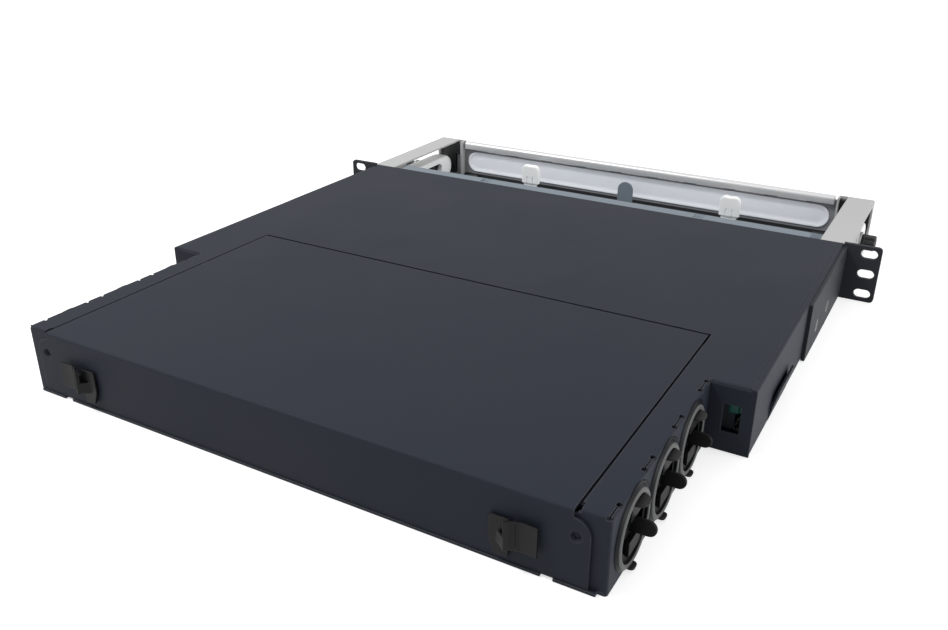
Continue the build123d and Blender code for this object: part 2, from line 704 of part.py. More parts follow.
def gland_plug(y):
    """The blank in a gland: a cup crossed by an upright web, and three tongues that a cable is tied to."""
    radius = GLAND_BORE - GLAND_FIT
    centre = (y, CASE_RISE)
    plug = rod("X", centre, radius, GLAND_INNER, TAIL_HALF)
    plug -= rod("X", centre, radius - PLUG_SKIRT, GLAND_INNER + PLUG_DISC, TAIL_HALF + 1)
    half = TONGUE_THICK / 2
    edge = TAIL_HALF + GLAND_LIP_PROUD + PLUG_WEB
    web = block(GLAND_INNER, edge, y - half, y + half, CASE_RISE - TONGUE_OFFSET, CASE_RISE + TONGUE_OFFSET)
    for side in (-1, 1):
        notch = CASE_RISE + side * (TONGUE_WIDTH + TONGUE_NOTCH) / 2
        web -= block(edge - 2 * TONGUE_NOTCH, edge + 1, y - half - 1, y + half + 1,
                     notch - TONGUE_NOTCH / 2, notch + TONGUE_NOTCH / 2)
    tip = TAIL_HALF + TONGUE_REACH
    middle = Pos((GLAND_INNER + tip) / 2, CASE_RISE) * blade(tip - GLAND_INNER, TONGUE_WIDTH)
    plug += web + sweep_y(middle, y - half, y + half)
    short = tip - TONGUE_SHORT
    for side, share in ((1, 1.0), (-1, TONGUE_NARROW)):
        face = Pos((GLAND_INNER + short) / 2, y) * blade(short - GLAND_INNER, TONGUE_WIDTH * share)
        z = CASE_RISE + side * TONGUE_OFFSET
        plug += sweep_z(face, z - half, z + half)
    return plug


def blade(length, width):
    """A strip along X, square at its root and round at its far end."""
    body = Pos(-width / 4, 0) * Rectangle(length - width / 2, width)
    return body + Pos(length / 2 - width / 2, 0) * Circle(width / 2)


def rear_cover():
    """The lift-up lid: a flat panel folded down into the rear flap, with hooks under the top cover."""
    line = [(FLAP_FACE, FLAP_BOTTOM), (FLAP_FACE, CASE_TOP), (COVER_FRONT, CASE_TOP)]
    lid = sweep_x(strip(line, SHEET, FLAP_BEND), -COVER_HALF, COVER_HALF)
    wings = block(-FLAP_HALF, FLAP_HALF, FLAP_INSIDE, FLAP_FACE, FLAP_BOTTOM, FLAP_TOP)
    wings -= both(rounder("Y", (FLAP_HALF, FLAP_TOP), FLAP_CORNER, (1, 1), FLAP_INSIDE - 1, FLAP_FACE + 1))
    lid += wings
    lid -= both(dimple() + latch_hole())
    for i in range(HOOK_COUNT):
        lid += hook(spread(HOOK_COUNT, CUT_HALF - HOOK_INSET, i))
    return lid


def hook(x):
    """A tongue under the top cover's edge, with a rounded bead where the lid turns."""
    x0, x1 = x - HOOK_WIDTH / 2, x + HOOK_WIDTH / 2
    back = COVER_FRONT + SHEET
    riser = block(x0, x1, COVER_FRONT, back, LEDGE_TOP - SHEET, COVER_UNDER)
    tongue = block(x0, x1, CUT_FRONT - HOOK_REACH, back, LEDGE_TOP - SHEET, LEDGE_TOP)
    axis = (COVER_FRONT - HOOK_BEAD + HOOK_BEAD_SINK, COVER_UNDER - HOOK_BEAD_DROP)
    bead = rod("X", axis, HOOK_BEAD, x0, x1)
    return riser + tongue + bead


def dimple():
    """A dimpled hole for a cover screw, wide outside."""
    x, z = FLAP_HALF - DIMPLE_INSET, CASE_RISE + DIMPLE_RISE
    cone = Pos(x, FLAP_FACE - SHEET / 2, z) * Rot(-90, 0, 0) * Cone(DIMPLE_HOLE, DIMPLE_MOUTH, SHEET)
    return cone + rod("Y", (x, z), DIMPLE_HOLE, FLAP_INSIDE - 1, FLAP_FACE + 1)


def latch_hole():
    """The slot in the flap that a latch's neck slides along."""
    x0 = LATCH_X - LATCH_NECK / 2 - SEAM
    half = LATCH_NECK_HEIGHT / 2 + SEAM
    return block(x0, x0 + LATCH_NECK + LATCH_TRAVEL + 2 * SEAM, FLAP_INSIDE - 1, FLAP_FACE + 1,
                 LATCH_Z - half, LATCH_Z + half)


def latch():
    """A slide latch: a base plate, an arched ribbed shell, a neck, a keeper and a bolt behind the flap."""
    low, high = LATCH_Z - LATCH_HEIGHT / 2, LATCH_Z + LATCH_HEIGHT / 2
    face_y = FLAP_FACE + SEAM
    x0, x1 = LATCH_X - LATCH_LENGTH / 2, LATCH_X + LATCH_LENGTH / 2
    base = block(x0, x0 + LATCH_BASE_LENGTH, face_y, face_y + LATCH_BASE, low, high)
    base -= rounder("Y", (x0, high), LATCH_CORNER, (-1, 1), face_y - 1, face_y + LATCH_BASE + 1)
    base -= rounder("Y", (x0, low), LATCH_LOW_CORNER, (-1, -1), face_y - 1, face_y + LATCH_BASE + 1)
    neck = block(LATCH_X - LATCH_NECK / 2, LATCH_X + LATCH_NECK / 2, FLAP_INSIDE - 2 * SEAM,
                 face_y + LATCH_BASE, LATCH_Z - LATCH_NECK_HEIGHT / 2, LATCH_Z + LATCH_NECK_HEIGHT / 2)
    keep_y = FLAP_INSIDE - SEAM
    bolt_y = keep_y - LATCH_KEEPER
    keeper = block(x0 + 1, LATCH_X + LATCH_KEEPER_END, bolt_y, keep_y,
                   LATCH_Z - LATCH_KEEPER_HEIGHT / 2, LATCH_Z + LATCH_KEEPER_HEIGHT / 2)
    bolt = block(LATCH_X + LATCH_BOLT_START, TAIL_HALF - RETURN_FLANGE - LATCH_SHY,
                 bolt_y - LATCH_BOLT, bolt_y,
                 LATCH_Z - LATCH_BOLT_HEIGHT / 2, LATCH_Z + LATCH_BOLT_HEIGHT / 2)
    return base + latch_shell(x0, x1, low, high, face_y) + neck + keeper + bolt


def latch_shell(x0, x1, low, high, face_y):
    """The thumb grip: a thin shell that rises from the base, carries ribs and slopes to a free edge."""
    top = face_y + LATCH_PROUD
    foot, hump = x0 + LATCH_FOOT, x0 + LATCH_HUMP
    line = [(x1, face_y + LATCH_TAIL + LATCH_SHELL), (hump + LATCH_HUMP_LENGTH, top), (hump, top),
            (foot, face_y + LATCH_BASE)]
    shell = sweep_z(strip(line, LATCH_SHELL, LATCH_ROUND), low + LATCH_SIDE, high - LATCH_SIDE)
    for i in range(LATCH_RIBS):
        x = hump + LATCH_HUMP_LENGTH / 2 + spread(LATCH_RIBS, RIB_PITCH, i)
        shell += rod("Z", (x, top - RIB_SUNK), RIB_ROUND, low + LATCH_SIDE, high - LATCH_SIDE)
    return shell


def channel(web_x, open_x, half, lip):
    """A rolled channel's section: its back at web_x, its flanges to open_x and lips turned in."""
    z = CASE_RISE
    line = [(open_x, z - half), (web_x, z - half), (web_x, z + half), (open_x, z + half)]
    if lip:
        line = [(open_x, z - half + lip)] + line + [(open_x, z + half - lip)]
    if open_x > web_x:
        line.reverse()
    return strip(line, SLIDE_SHEET, SLIDE_SHEET + SEAM)


def slide_outer():
    """The outer member, fixed to the case's side wall."""
    face = channel(CASE_INSIDE, CASE_INSIDE - SLIDE_PACK + SLIDE_OPEN, SLIDE_HALF, SLIDE_LIP)
    return sweep_y(face, SLIDE_FRONT, SLIDE_FRONT + SLIDE_LENGTH)


def slide_middle():
    """The middle member, which runs on balls inside the outer one."""
    face = channel(MIDDLE_WEB, CASE_INSIDE - SLIDE_PACK + MIDDLE_OPEN, MIDDLE_HALF, MIDDLE_LIP)
    return sweep_y(face, SLIDE_FRONT + MIDDLE_SETBACK, SLIDE_FRONT + SLIDE_LENGTH - MIDDLE_SHY)


def slide_inner():
    """The inner member on the drawer's side, open towards the case wall, with its lever's pivot hole."""
    member = sweep_y(channel(TRAY_HALF, TRAY_HALF + INNER_DEPTH, INNER_HALF, 0), INNER_FRONT, INNER_BACK)
    return member - rod("X", (LEVER_Y, CASE_RISE), LEVER_PIN + PIN_PLAY, TRAY_HALF - 1, LEVER_X)


def ball_cages():
    """Four strips of balls on each slide: two rows outside the middle member and two inside it."""
    cages = []
    outer_room = (CASE_RISE + MIDDLE_HALF, CASE_RISE + SLIDE_HALF - SLIDE_SHEET)
    inner_room = (CASE_RISE + INNER_HALF, CASE_RISE + MIDDLE_HALF - SLIDE_SHEET)
    middle = SLIDE_FRONT + CAGE_SETBACK + CAGE_LENGTH / 2
    for room, inset in ((outer_room, OUTER_BALL_X), (inner_room, INNER_BALL_X)):
        x, z = CASE_INSIDE - inset, sum(room) / 2
        radius = (room[1] - room[0]) / 2 - BALL_GAP
        cage = Pos(x, middle, z) * Box(2 * radius - CAGE_STRIP, CAGE_LENGTH, CAGE_STRIP)
        for i in range(BALL_COUNT):
            cage += Pos(x, middle + spread(BALL_COUNT, CAGE_LENGTH / BALL_COUNT, i), z) * Sphere(radius)
        cages += [cage, mirror(cage, about=Plane.XY.offset(CASE_RISE))]
    return cages


def slide_rivets():
    """Low rivet heads that hold the outer members to the case."""
    rivets = []
    pitch = (SLIDE_LENGTH - 2 * RIVET_INSET) / (RIVET_COUNT - 1)
    web = CASE_INSIDE - SLIDE_SHEET
    for i in range(RIVET_COUNT):
        y = SLIDE_FRONT + RIVET_INSET + pitch * i
        rivet = rod("X", (y, CASE_RISE), RIVET_HEAD, web - RIVET_RISE, web)
        rivets += [rivet, other_side(rivet)]
    return rivets


def release_lever():
    """The coloured lever on the inner member: a bar on a pivot, its flag behind the step window."""
    half = LEVER_HEIGHT / 2
    flag_y = INNER_BACK + FLAG_GAP
    end = flag_y + FLAG_LENGTH
    bar = block(LEVER_X, LEVER_X + LEVER_THICK, LEVER_Y - LEVER_FRONT, end, CASE_RISE - half,
                CASE_RISE + half)
    flag_x = TRAY_HALF - FLAG_REACH
    flag_top = CASE_RISE + FLAG_RISE
    flag = block(flag_x, flag_x + FLAG_WIDTH, flag_y, end, CASE_RISE - half, flag_top)
    flag -= rounder("X", (end, flag_top), FLAG_CORNER, (1, 1), flag_x - 1, flag_x + FLAG_WIDTH + 1)
    hole = rod("X", (LEVER_Y, CASE_RISE), LEVER_PIN + PIN_PLAY, LEVER_X - 1, LEVER_X + LEVER_THICK + 1)
    return bar + flag - hole


def lever_pivot():
    """The shouldered rivet that the release lever turns on."""
    at = (LEVER_Y, CASE_RISE)
    end = LEVER_X + LEVER_THICK + LEVER_GAP
    stem = rod("X", at, LEVER_PIN, TRAY_HALF, end + LEVER_GAP)
    collar = rod("X", at, LEVER_PIN + LEVER_COLLAR, TRAY_HALF + SLIDE_SHEET, LEVER_X - LEVER_GAP)
    head = rod("X", at, LEVER_PIN + LEVER_COLLAR, end, end + LEVER_HEAD)
    return stem + collar + head


def drawer_tray():
    """The sliding tray: a folded U with a low back wall and a tongue under the trough."""
    line = [(-TRAY_HALF, RAIL_UNDER_TOP), (-TRAY_HALF, TRAY_BASE), (TRAY_HALF, TRAY_BASE),
            (TRAY_HALF, RAIL_UNDER_TOP)]
    tray = sweep_y(strip(line, TRAY_SHEET, BEND), TRAY_FRONT, TRAY_BACK)
    tray += block(-RAIL_HALF, RAIL_HALF, TRAY_FRONT - TONGUE_PLATE, TRAY_FRONT + 1, TRAY_BASE, TRAY_FLOOR)
    tray += block(-TRAY_INSIDE, TRAY_INSIDE, TRAY_BACK - TRAY_SHEET, TRAY_BACK, TRAY_FLOOR,
                  TRAY_FLOOR + TRAY_BACK_HEIGHT)
    hole = rod("X", (LEVER_Y, CASE_RISE), LEVER_PIN + LEVER_COLLAR, TRAY_INSIDE - 1, TRAY_HALF + 1)
    return tray - both(hole)


def front_rail():
    """The drawer's top rail: a stepped strip whose front shows just before the case's edge."""
    front, back = TROUGH_BACK - RAIL_DEPTH, TROUGH_BACK
    under = back + RAIL_UNDER
    face = Pos(0, (front + back) / 2) * Rectangle(2 * RAIL_HALF, RAIL_DEPTH)
    face = chamfer(face.vertices().group_by(Axis.Y)[0], RAIL_CHAMFER)
    rail = sweep_z(face, RAIL_TOP - TRAY_SHEET, RAIL_TOP)
    notch = block(RAIL_NOTCH_X - RAIL_NOTCH / 2, RAIL_NOTCH_X + RAIL_NOTCH / 2, front - 1, back - RAIL_LAND,
                  RAIL_TOP - RAIL_STEP, RAIL_TOP + 1)
    rail -= both(notch)
    low = RAIL_UNDER_TOP - TRAY_SHEET
    rail += block(-RAIL_HALF, RAIL_HALF, back - TRAY_SHEET, back, low, RAIL_TOP)
    rail += block(-RAIL_HALF, RAIL_HALF, back - TRAY_SHEET, under, low, RAIL_UNDER_TOP)
    return rail + block(-TRAY_INSIDE, TRAY_INSIDE, TRAY_FRONT, under, low, RAIL_UNDER_TOP)


def module_section(inset):
    """A cassette's plan, drawn about its middle and chamfered at the back corners."""
    face = Rectangle(MODULE_WIDTH - 2 * inset, MODULE_LENGTH - 2 * inset)
    return chamfer(face.vertices().group_by(Axis.Y)[-1], MODULE_CHAMFER)


def module_body(i):
    """A fibre cassette's box with two grooves along each side."""
    x, half = spread(MODULE_COUNT, MODULE_PITCH, i), MODULE_WIDTH / 2
    place = Pos(x, (MODULE_FRONT + MODULE_BACK) / 2)
    box = sweep_z(place * module_section(0), TRAY_FLOOR, MODULE_TOP)
    box -= sweep_z(place * module_section(MODULE_WALL), TRAY_FLOOR + MODULE_WALL, MODULE_TOP + 1)
    for side in (-1, 1):
        inner, outer = sorted((x + side * (half - MODULE_GROOVE_DEPTH), x + side * (half + 1)))
        for row in range(2):
            z = TRAY_FLOOR + MODULE_GROOVE_RISE + MODULE_GROOVE_PITCH * row
            box -= block(inner, outer, MODULE_FRONT + MODULE_GROOVE_ENDS,
                         MODULE_BACK - MODULE_CHAMFER - MODULE_GROOVE_ENDS, z, z + MODULE_GROOVE)
    return box


def module_lid(i):
    """A cassette's lid with a raised panel and a thumb notch."""
    x, y = spread(MODULE_COUNT, MODULE_PITCH, i), (MODULE_FRONT + MODULE_BACK) / 2 - LID_SHIFT
    width, length = MODULE_WIDTH - 2 * LID_EDGE, MODULE_LENGTH - 2 * LID_ENDS
    top = MODULE_TOP + LID_THICK
    lid = sweep_z(Pos(x, y) * RectangleRounded(width, length, LID_CORNER), MODULE_TOP, top)
    pad = RectangleRounded(width - 2 * LID_BORDER, length - 2 * LID_BORDER, LID_CORNER)
    lid += sweep_z(Pos(x, y) * pad, top, top + LID_PAD)
    return lid - rod("Z", (x, y + length / 2), LID_NOTCH, MODULE_TOP - 1, top + 1)


def adapter_places(i):
    """The middle of each adapter on the front of module i."""
    middle = spread(MODULE_COUNT, MODULE_PITCH, i)
    rows = [MODULE_MIDDLE + spread(ADAPTER_ROWS, ADAPTER_ROW_PITCH, r) for r in range(ADAPTER_ROWS)]
    columns = [middle + spread(ADAPTERS_ACROSS, ADAPTER_PITCH, c) for c in range(ADAPTERS_ACROSS)]
    return [(x, z) for z in rows for x in columns]


def adapter(x, z):
    """A four-port adapter: its flange on the module and its front half, a key rib along the top."""
    half, high = ADAPTER_WIDTH / 2, ADAPTER_HEIGHT / 2
    front = MODULE_FRONT - ADAPTER_REACH
    edge, brow = half + ADAPTER_BORDER, high + ADAPTER_RIB
    body = block(x - half, x + half, front, MODULE_FRONT, z - high, z + high)
    flange = block(x - edge, x + edge, MODULE_FRONT - ADAPTER_FLANGE, MODULE_FRONT, z - brow, z + brow)
    rib_half = half - ADAPTER_RIB_INSET
    rib = block(x - rib_half, x + rib_half, front + ADAPTER_RIB_INSET, MODULE_FRONT, z + high, z + brow)
    return body + flange + rib


def dust_plug(x, z):
    """A strip of four dust plugs with finger grips on one adapter's ports."""
    face = MODULE_FRONT - ADAPTER_REACH
    half, high = PORT_PITCH * PORTS / 2 - PLUG_INSET, PLUG_HEIGHT / 2
    land = high + PLUG_STRIP
    plug = block(x - half, x + half, face - PLUG_STRIP, face, z - land, z + land)
    for p in range(PORTS):
        centre = x + spread(PORTS, PORT_PITCH, p)
        plug += block(centre - PLUG_WIDTH / 2, centre + PLUG_WIDTH / 2, face - PLUG_LENGTH,
                      face - PLUG_STRIP, z - high, z + high)
    return plug


def mpo_adapters():
    """Two multi-fibre adapters on the back of each module."""
    group = []
    y = MODULE_BACK
    half, high = MPO_WIDTH / 2, MPO_HEIGHT / 2
    top = MODULE_MIDDLE + high
    for i in range(MODULE_COUNT):
        for side in (-1, 1):
            x = spread(MODULE_COUNT, MODULE_PITCH, i) + side * MPO_SPREAD / 2
            body = block(x - half, x + half, y, y + MPO_REACH, MODULE_MIDDLE - high, top)
            flange = block(x - half - MPO_BORDER, x + half + MPO_BORDER, y, y + MPO_FLANGE,
                           MODULE_MIDDLE - high - MPO_BORDER, top + MPO_BORDER)
            key = block(x - MPO_KEY_WIDTH / 2, x + MPO_KEY_WIDTH / 2, y, y + MPO_REACH - MPO_FLANGE,
                        top, top + MPO_KEY)
            group.append(body + flange + key)
    return group


def module_guides():
    """Rails on the tray between the modules."""
    rails = []
    for i in range(MODULE_COUNT - 1):
        x = spread(MODULE_COUNT - 1, MODULE_PITCH, i)
        rails.append(block(x - GUIDE_THICK / 2, x + GUIDE_THICK / 2, MODULE_FRONT + GUIDE_ENDS,
                           MODULE_BACK - GUIDE_ENDS, TRAY_FLOOR, TRAY_FLOOR + GUIDE_HEIGHT))
    return rails


def spool(x, y, floor, radius):
    """A bend-radius drum with a foot flange, a waist and a notched top flange."""
    top, flange = floor + SPOOL_HEIGHT, radius + SPOOL_FLANGE
    drum = rod("Z", (x, y), flange, floor, floor + SPOOL_PLATE) + rod("Z", (x, y), radius, floor, top)
    plate = rod("Z", (x, y), flange, top - SPOOL_PLATE, top)
    for side in (-1, 1):
        near, far = sorted((y + side * radius, y + side * (flange + 1)))
        plate -= block(x - SPOOL_NOTCH / 2, x + SPOOL_NOTCH / 2, near, far, top - 2 * SPOOL_PLATE, top + 1)
    return drum + plate - rod("Z", (x, y), radius - SPOOL_WALL, floor + SPOOL_WALL, top + 1)


def tie_bar():
    """A raised lashing bar beside the glands, folded from one strip and slotted for cable ties."""
    front, back = BODY_DEPTH + TIE_BAR_FRONT, CASE_DEPTH - TIE_BAR_BACK
    top = CASE_FLOOR + TIE_BAR_HEIGHT
    line = [(front, CASE_FLOOR), (front + TIE_BAR_FOOT, CASE_FLOOR), (front + TIE_BAR_FOOT, top - SHEET),
            (back - TIE_BAR_FOOT, top - SHEET), (back - TIE_BAR_FOOT, CASE_FLOOR), (back, CASE_FLOOR)]
    bar = sweep_x(strip(line, SHEET, BEND), TIE_BAR_X - TIE_BAR_WIDTH / 2, TIE_BAR_X + TIE_BAR_WIDTH / 2)
    pitch = (back - front - 2 * TIE_SLOT_END) / (TIE_SLOTS - 1)
    for i in range(TIE_SLOTS):
        for side in (-1, 1):
            place = Pos(TIE_BAR_X + side * TIE_SLOT_SPREAD / 2, front + TIE_SLOT_END + pitch * i)
            bar -= sweep_z(place * Rectangle(TIE_SLOT_WIDTH, TIE_SLOT_LENGTH), top - 2 * SHEET, top + 1)
    return bar


def trough_floor():
    """The trough's floor with a raised rib near its front and three upright tabs."""
    base = TROUGH_FLOOR - TRAY_SHEET
    half = GUIDE_OUT - GUIDE_DEPTH - GUIDE_SIDE_GAP
    rib = base + TAB_RIB_RISE
    front, back = TROUGH_FRONT + TROUGH_EDGE, MODULE_FRONT - 2 * SEAM
    rib_back = TAB_Y + TAB_RIB_WIDTH
    line = [(front, base), (TAB_Y - TAB_RIB_SLOPE, base), (TAB_Y, rib), (rib_back, rib),
            (rib_back + TAB_RIB_SLOPE, base), (back, base)]
    sheet = sweep_x(strip(line, TRAY_SHEET, BEND), -half, half)
    sheet += both(block(half, BRACKET_INSIDE, front, back, base, TROUGH_FLOOR))
    stand = TAB_Y + TAB_STAND
    for place in (-1, 0, 1):
        face = Pos(place * TAB_SPREAD, (TAB_FOOT + TAB_TOP) / 2) * tab_face(TAB_WIDTH, TAB_HEIGHT)
        sheet += sweep_y(face, stand, stand + TRAY_SHEET)
    return sheet


def tab_face(width, height):
    """A tongue standing on its square end, with a round top."""
    low = Pos(0, -width / 4) * Rectangle(width, height - width / 2)
    return low + Pos(0, height / 2 - width / 2) * Circle(width / 2)


def finger_cap(place):
    """A soft cap pushed over a tab, with two grooves at its root."""
    x, stand = place * TAB_SPREAD, TAB_Y + TAB_STAND
    foot, top = TROUGH_FLOOR + TAB_RIB_RISE + CAP_LIFT, TAB_TOP + CAP_CROWN
    front, back = stand - CAP_SKIN, stand + TRAY_SHEET + CAP_SKIN
    face = Rectangle(TAB_WIDTH + 2 * CAP_WALL, top - foot)
    face = fillet(face.vertices().group_by(Axis.Y)[-1], CAP_CORNER)
    cap = sweep_y(Pos(x, (foot + top) / 2) * face, front, back)
    cap = fillet(cap.edges().filter_by(GeomType.CIRCLE), CAP_EDGE)
    low, high = foot - CAP_CROWN, TAB_TOP + CAP_FIT
    room = Pos(x, (low + high) / 2) * tab_face(TAB_WIDTH + 2 * CAP_FIT, high - low)
    cap -= sweep_y(room, stand - CAP_FIT, stand + TRAY_SHEET + CAP_FIT)
    for side in (-1, 1):
        groove = x + side * CAP_GROOVE_PITCH / 2
        cap -= block(groove - CAP_GROOVE / 2, groove + CAP_GROOVE / 2, back - CAP_GROOVE_DEPTH, back + 1,
                     foot - 1, foot + CAP_GROOVE_HEIGHT)
    return cap


def trough_bracket():
    """The side of the trough: a top flange, an outer wall with the fibre exit, webs and a hinge post."""
    t, out, inn = BRACKET_SHEET, BRACKET_HALF, BRACKET_INSIDE
    front, back, top = TROUGH_FRONT, TROUGH_BACK, BRACKET_TOP
    bracket = block(inn, out, front, back, TROUGH_BASE, top) - exit_cutout()
    bracket += lug() + bracket_legs()
    bracket += block(out - BRACKET_FLANGE, out, front, back, top - t, top)
    web = block(POST_X, out, front, front + t, TROUGH_BASE, top)
    web -= block(POST_X + WEB_WINDOW_INSET, inn - WEB_WINDOW_SIDE, front - 1, front + t + 1,
                 TROUGH_BASE + WEB_WINDOW_SILL, top - WEB_WINDOW_LINTEL)
    post = block(POST_X, POST_X + t, front, front + POST_WIDTH, TROUGH_BASE + POST_LIFT, top)
    bracket += web + post
    bracket += block(TRAY_HALF, out, back - t, back, TROUGH_BASE, top)
    bracket += block(out - BRACKET_FOOT, out, front, back, TROUGH_BASE, TROUGH_FLOOR - TRAY_SHEET)
    bracket -= rod("X", (HINGE_Y, HINGE_Z), HINGE_PIN + HINGE_PRESS, POST_X - 1, POST_X + t + 1)
    bracket -= rounder("Y", (out, top), BEND, (1, 1), front - 1, back + 1)
    bracket -= rounder("Z", (out, front), BEND, (1, -1), TROUGH_BASE - 1, top + 1)
    hole = (back - BRACKET_HOLE_BACK, top - BRACKET_HOLE_DROP)
    return bracket - rod("X", hole, BRACKET_HOLE, inn - 1, out + 1)


def exit_cutout():
    """The fibre exit in the bracket's wall, round at its corners."""
    face = RectangleRounded(EXIT_BACK - EXIT_FRONT, EXIT_TOP - EXIT_FLOOR, CUTOUT_CORNER)
    middle = Pos((EXIT_BACK + EXIT_FRONT) / 2, (EXIT_TOP + EXIT_FLOOR) / 2)
    return sweep_x(middle * face, BRACKET_INSIDE - 1, BRACKET_HALF + 1)


def lug():
    """A round-topped lug that stands in the exit and carries the guide's knob."""
    low, top = EXIT_FLOOR - LUG_ROOT, EYE_Z + LUG_WIDTH / 2
    face = Pos(GUIDE_Y, (low + top) / 2) * tab_face(LUG_WIDTH, top - low)
    plate = sweep_x(face, BRACKET_INSIDE, BRACKET_HALF)
    return plate - rod("X", (GUIDE_Y, EYE_Z), KNOB_STEM + PIN_PLAY, BRACKET_INSIDE - 1, BRACKET_HALF + 1)


def bracket_legs():
    """Two legs that run back beside the slide and are riveted to the drawer's side."""
    x0, x1 = TRAY_HALF, TRAY_HALF + BRACKET_SHEET
    y0, y1 = TROUGH_BACK - BRACKET_SHEET, TROUGH_BACK + BRACKET_LEG
    clear = INNER_HALF + BRACKET_LEG_GAP
    high = block(x0, x1, y0, y1, CASE_RISE + clear, RAIL_UNDER_TOP - BEND)
    return high + block(x0, x1, y0, y1, TRAY_BASE + BEND + BRACKET_LEG_GAP, CASE_RISE - clear)


def radius_guide():
    """A rounded collar with an oval eye, over whose top the fibres leave the trough."""
    height = GUIDE_TOP - TROUGH_FLOOR
    face = Pos(GUIDE_Y, TROUGH_FLOOR + height / 2) * RectangleRounded(GUIDE_LENGTH, height, GUIDE_CORNER)
    collar = sweep_x(face, GUIDE_OUT - GUIDE_DEPTH, GUIDE_OUT)
    collar = fillet(collar.edges().filter_by(Plane.YZ), GUIDE_ROUND)
    eye = Pos(GUIDE_Y, EYE_Z) * SlotOverall(EYE_LENGTH, EYE_HEIGHT)
    return collar - sweep_x(eye, GUIDE_OUT - GUIDE_DEPTH - 1, GUIDE_OUT + 1)


def guide_core():
    """The dark oval boss in the guide's eye, dished inside and bored for the knob's stem."""
    x0 = GUIDE_OUT - GUIDE_DEPTH + CORE_SETBACK
    at, place = (GUIDE_Y, EYE_Z), Pos(GUIDE_Y, EYE_Z)
    core = sweep_x(place * SlotOverall(EYE_LENGTH - 2 * CORE_PLAY, EYE_HEIGHT - 2 * CORE_PLAY), x0,
                   GUIDE_OUT - CORE_BOSS)
    core += rod("X", at, EYE_HEIGHT / 2 - CORE_BOSS, GUIDE_OUT - CORE_BOSS - 1, BRACKET_INSIDE)
    dish = place * SlotOverall(EYE_LENGTH - 2 * CORE_RIM, EYE_HEIGHT - 2 * CORE_RIM)
    core -= sweep_x(dish, x0 - 1, x0 + CORE_DISH)
    return core - rod("X", at, KNOB_STEM + PIN_PLAY, x0 + CORE_DISH + 1, BRACKET_INSIDE + 1)


def guide_knob():
    """A fluted knob on a stem through the lug into the core."""
    x0 = BRACKET_HALF + KNOB_GAP
    x1 = x0 + KNOB_LENGTH
    at = (GUIDE_Y, EYE_Z)
    head = rod("X", at, KNOB_RADIUS, x0, x1)
    for i in range(KNOB_FLUTES):
        angle = radians(360 / KNOB_FLUTES * i)
        reach = KNOB_RADIUS + KNOB_FLUTE_OUT
        flute = (at[0] + reach * cos(angle), at[1] + reach * sin(angle))
        head -= rod("X", flute, KNOB_FLUTE, x0 + KNOB_COLLAR, x1 + 1)
    head -= rod("X", at, KNOB_DISH, x1 - KNOB_DISH_DEPTH, x1 + 1)
    return head + rod("X", at, KNOB_STEM, BRACKET_INSIDE - KNOB_STEM_IN, x0)


def catch_block():
    """The dark magnet holder behind the window of the bracket's front web."""
    y0 = TROUGH_FRONT + BRACKET_SHEET
    y1 = y0 + CATCH_THICK
    x0, x1 = POST_X + BRACKET_SHEET + CATCH_GAP, BRACKET_INSIDE - CATCH_SIDE
    holder = block(x0 + CATCH_EDGE, x1, y0, y1, TROUGH_FLOOR + CATCH_LIFT, EXIT_TOP)
    return holder + block(x0, x0 + CATCH_TAB_WIDTH, y0, y1, EXIT_TOP - CATCH_TAB, EXIT_TOP)


def hinge_pin():
    """A short pin pressed into the bracket's post, on which the door turns."""
    return rod("X", (HINGE_Y, HINGE_Z), HINGE_PIN, DOOR_HALF - BARREL_LENGTH + PIN_SHORT,
               POST_X + BRACKET_SHEET + PIN_OVER)


def door_panel():
    """The door's leaf with its long round-ended window, a row of dashes and a barrel at each end."""
    leaf = block(-DOOR_HALF, DOOR_HALF, DOOR_FRONT, DOOR_BACK, HINGE_Z - DOOR_SILL,
                 RAIL_FOOT + DOOR_RAIL_SLOT)
    lens = Pos(0, CASE_RISE) * SlotOverall(LENS_WIDTH, LENS_HEIGHT)
    leaf -= sweep_y(lens, DOOR_FRONT - 1, DOOR_BACK + 1)
    dash_z = (CASE_RISE + LENS_HEIGHT / 2 + LENS_RIM + RAIL_FOOT) / 2
    for i in range(DASH_COUNT):
        x = spread(DASH_COUNT, (LENS_WIDTH - 2 * DASH_ENDS) / DASH_COUNT, i)
        leaf -= block(x - DASH_LENGTH / 2, x + DASH_LENGTH / 2, DOOR_FRONT - 1, DOOR_BACK + 1,
                      dash_z - DASH_HEIGHT / 2, dash_z + DASH_HEIGHT / 2)
    inner = DOOR_HALF - BARREL_LENGTH
    barrel = rod("X", (HINGE_Y, HINGE_Z), HINGE_PIN + HINGE_BARREL, inner, DOOR_HALF)
    bore = rod("X", (HINGE_Y, HINGE_Z), HINGE_PIN + PIN_PLAY, inner - 1, DOOR_HALF + 1)
    return leaf + both(barrel) - both(bore)


def door_window():
    """A clear strip with round ends, its plug in the leaf's window and its rim on the inside."""
    plug = Pos(0, CASE_RISE) * SlotOverall(LENS_WIDTH - 2 * LENS_FIT, LENS_HEIGHT - 2 * LENS_FIT)
    rim = Pos(0, CASE_RISE) * SlotOverall(LENS_WIDTH + LENS_RIM, LENS_HEIGHT + LENS_RIM)
    return sweep_y(plug, DOOR_FRONT, DOOR_BACK) + sweep_y(rim, DOOR_BACK, DOOR_BACK + LENS_THICK)


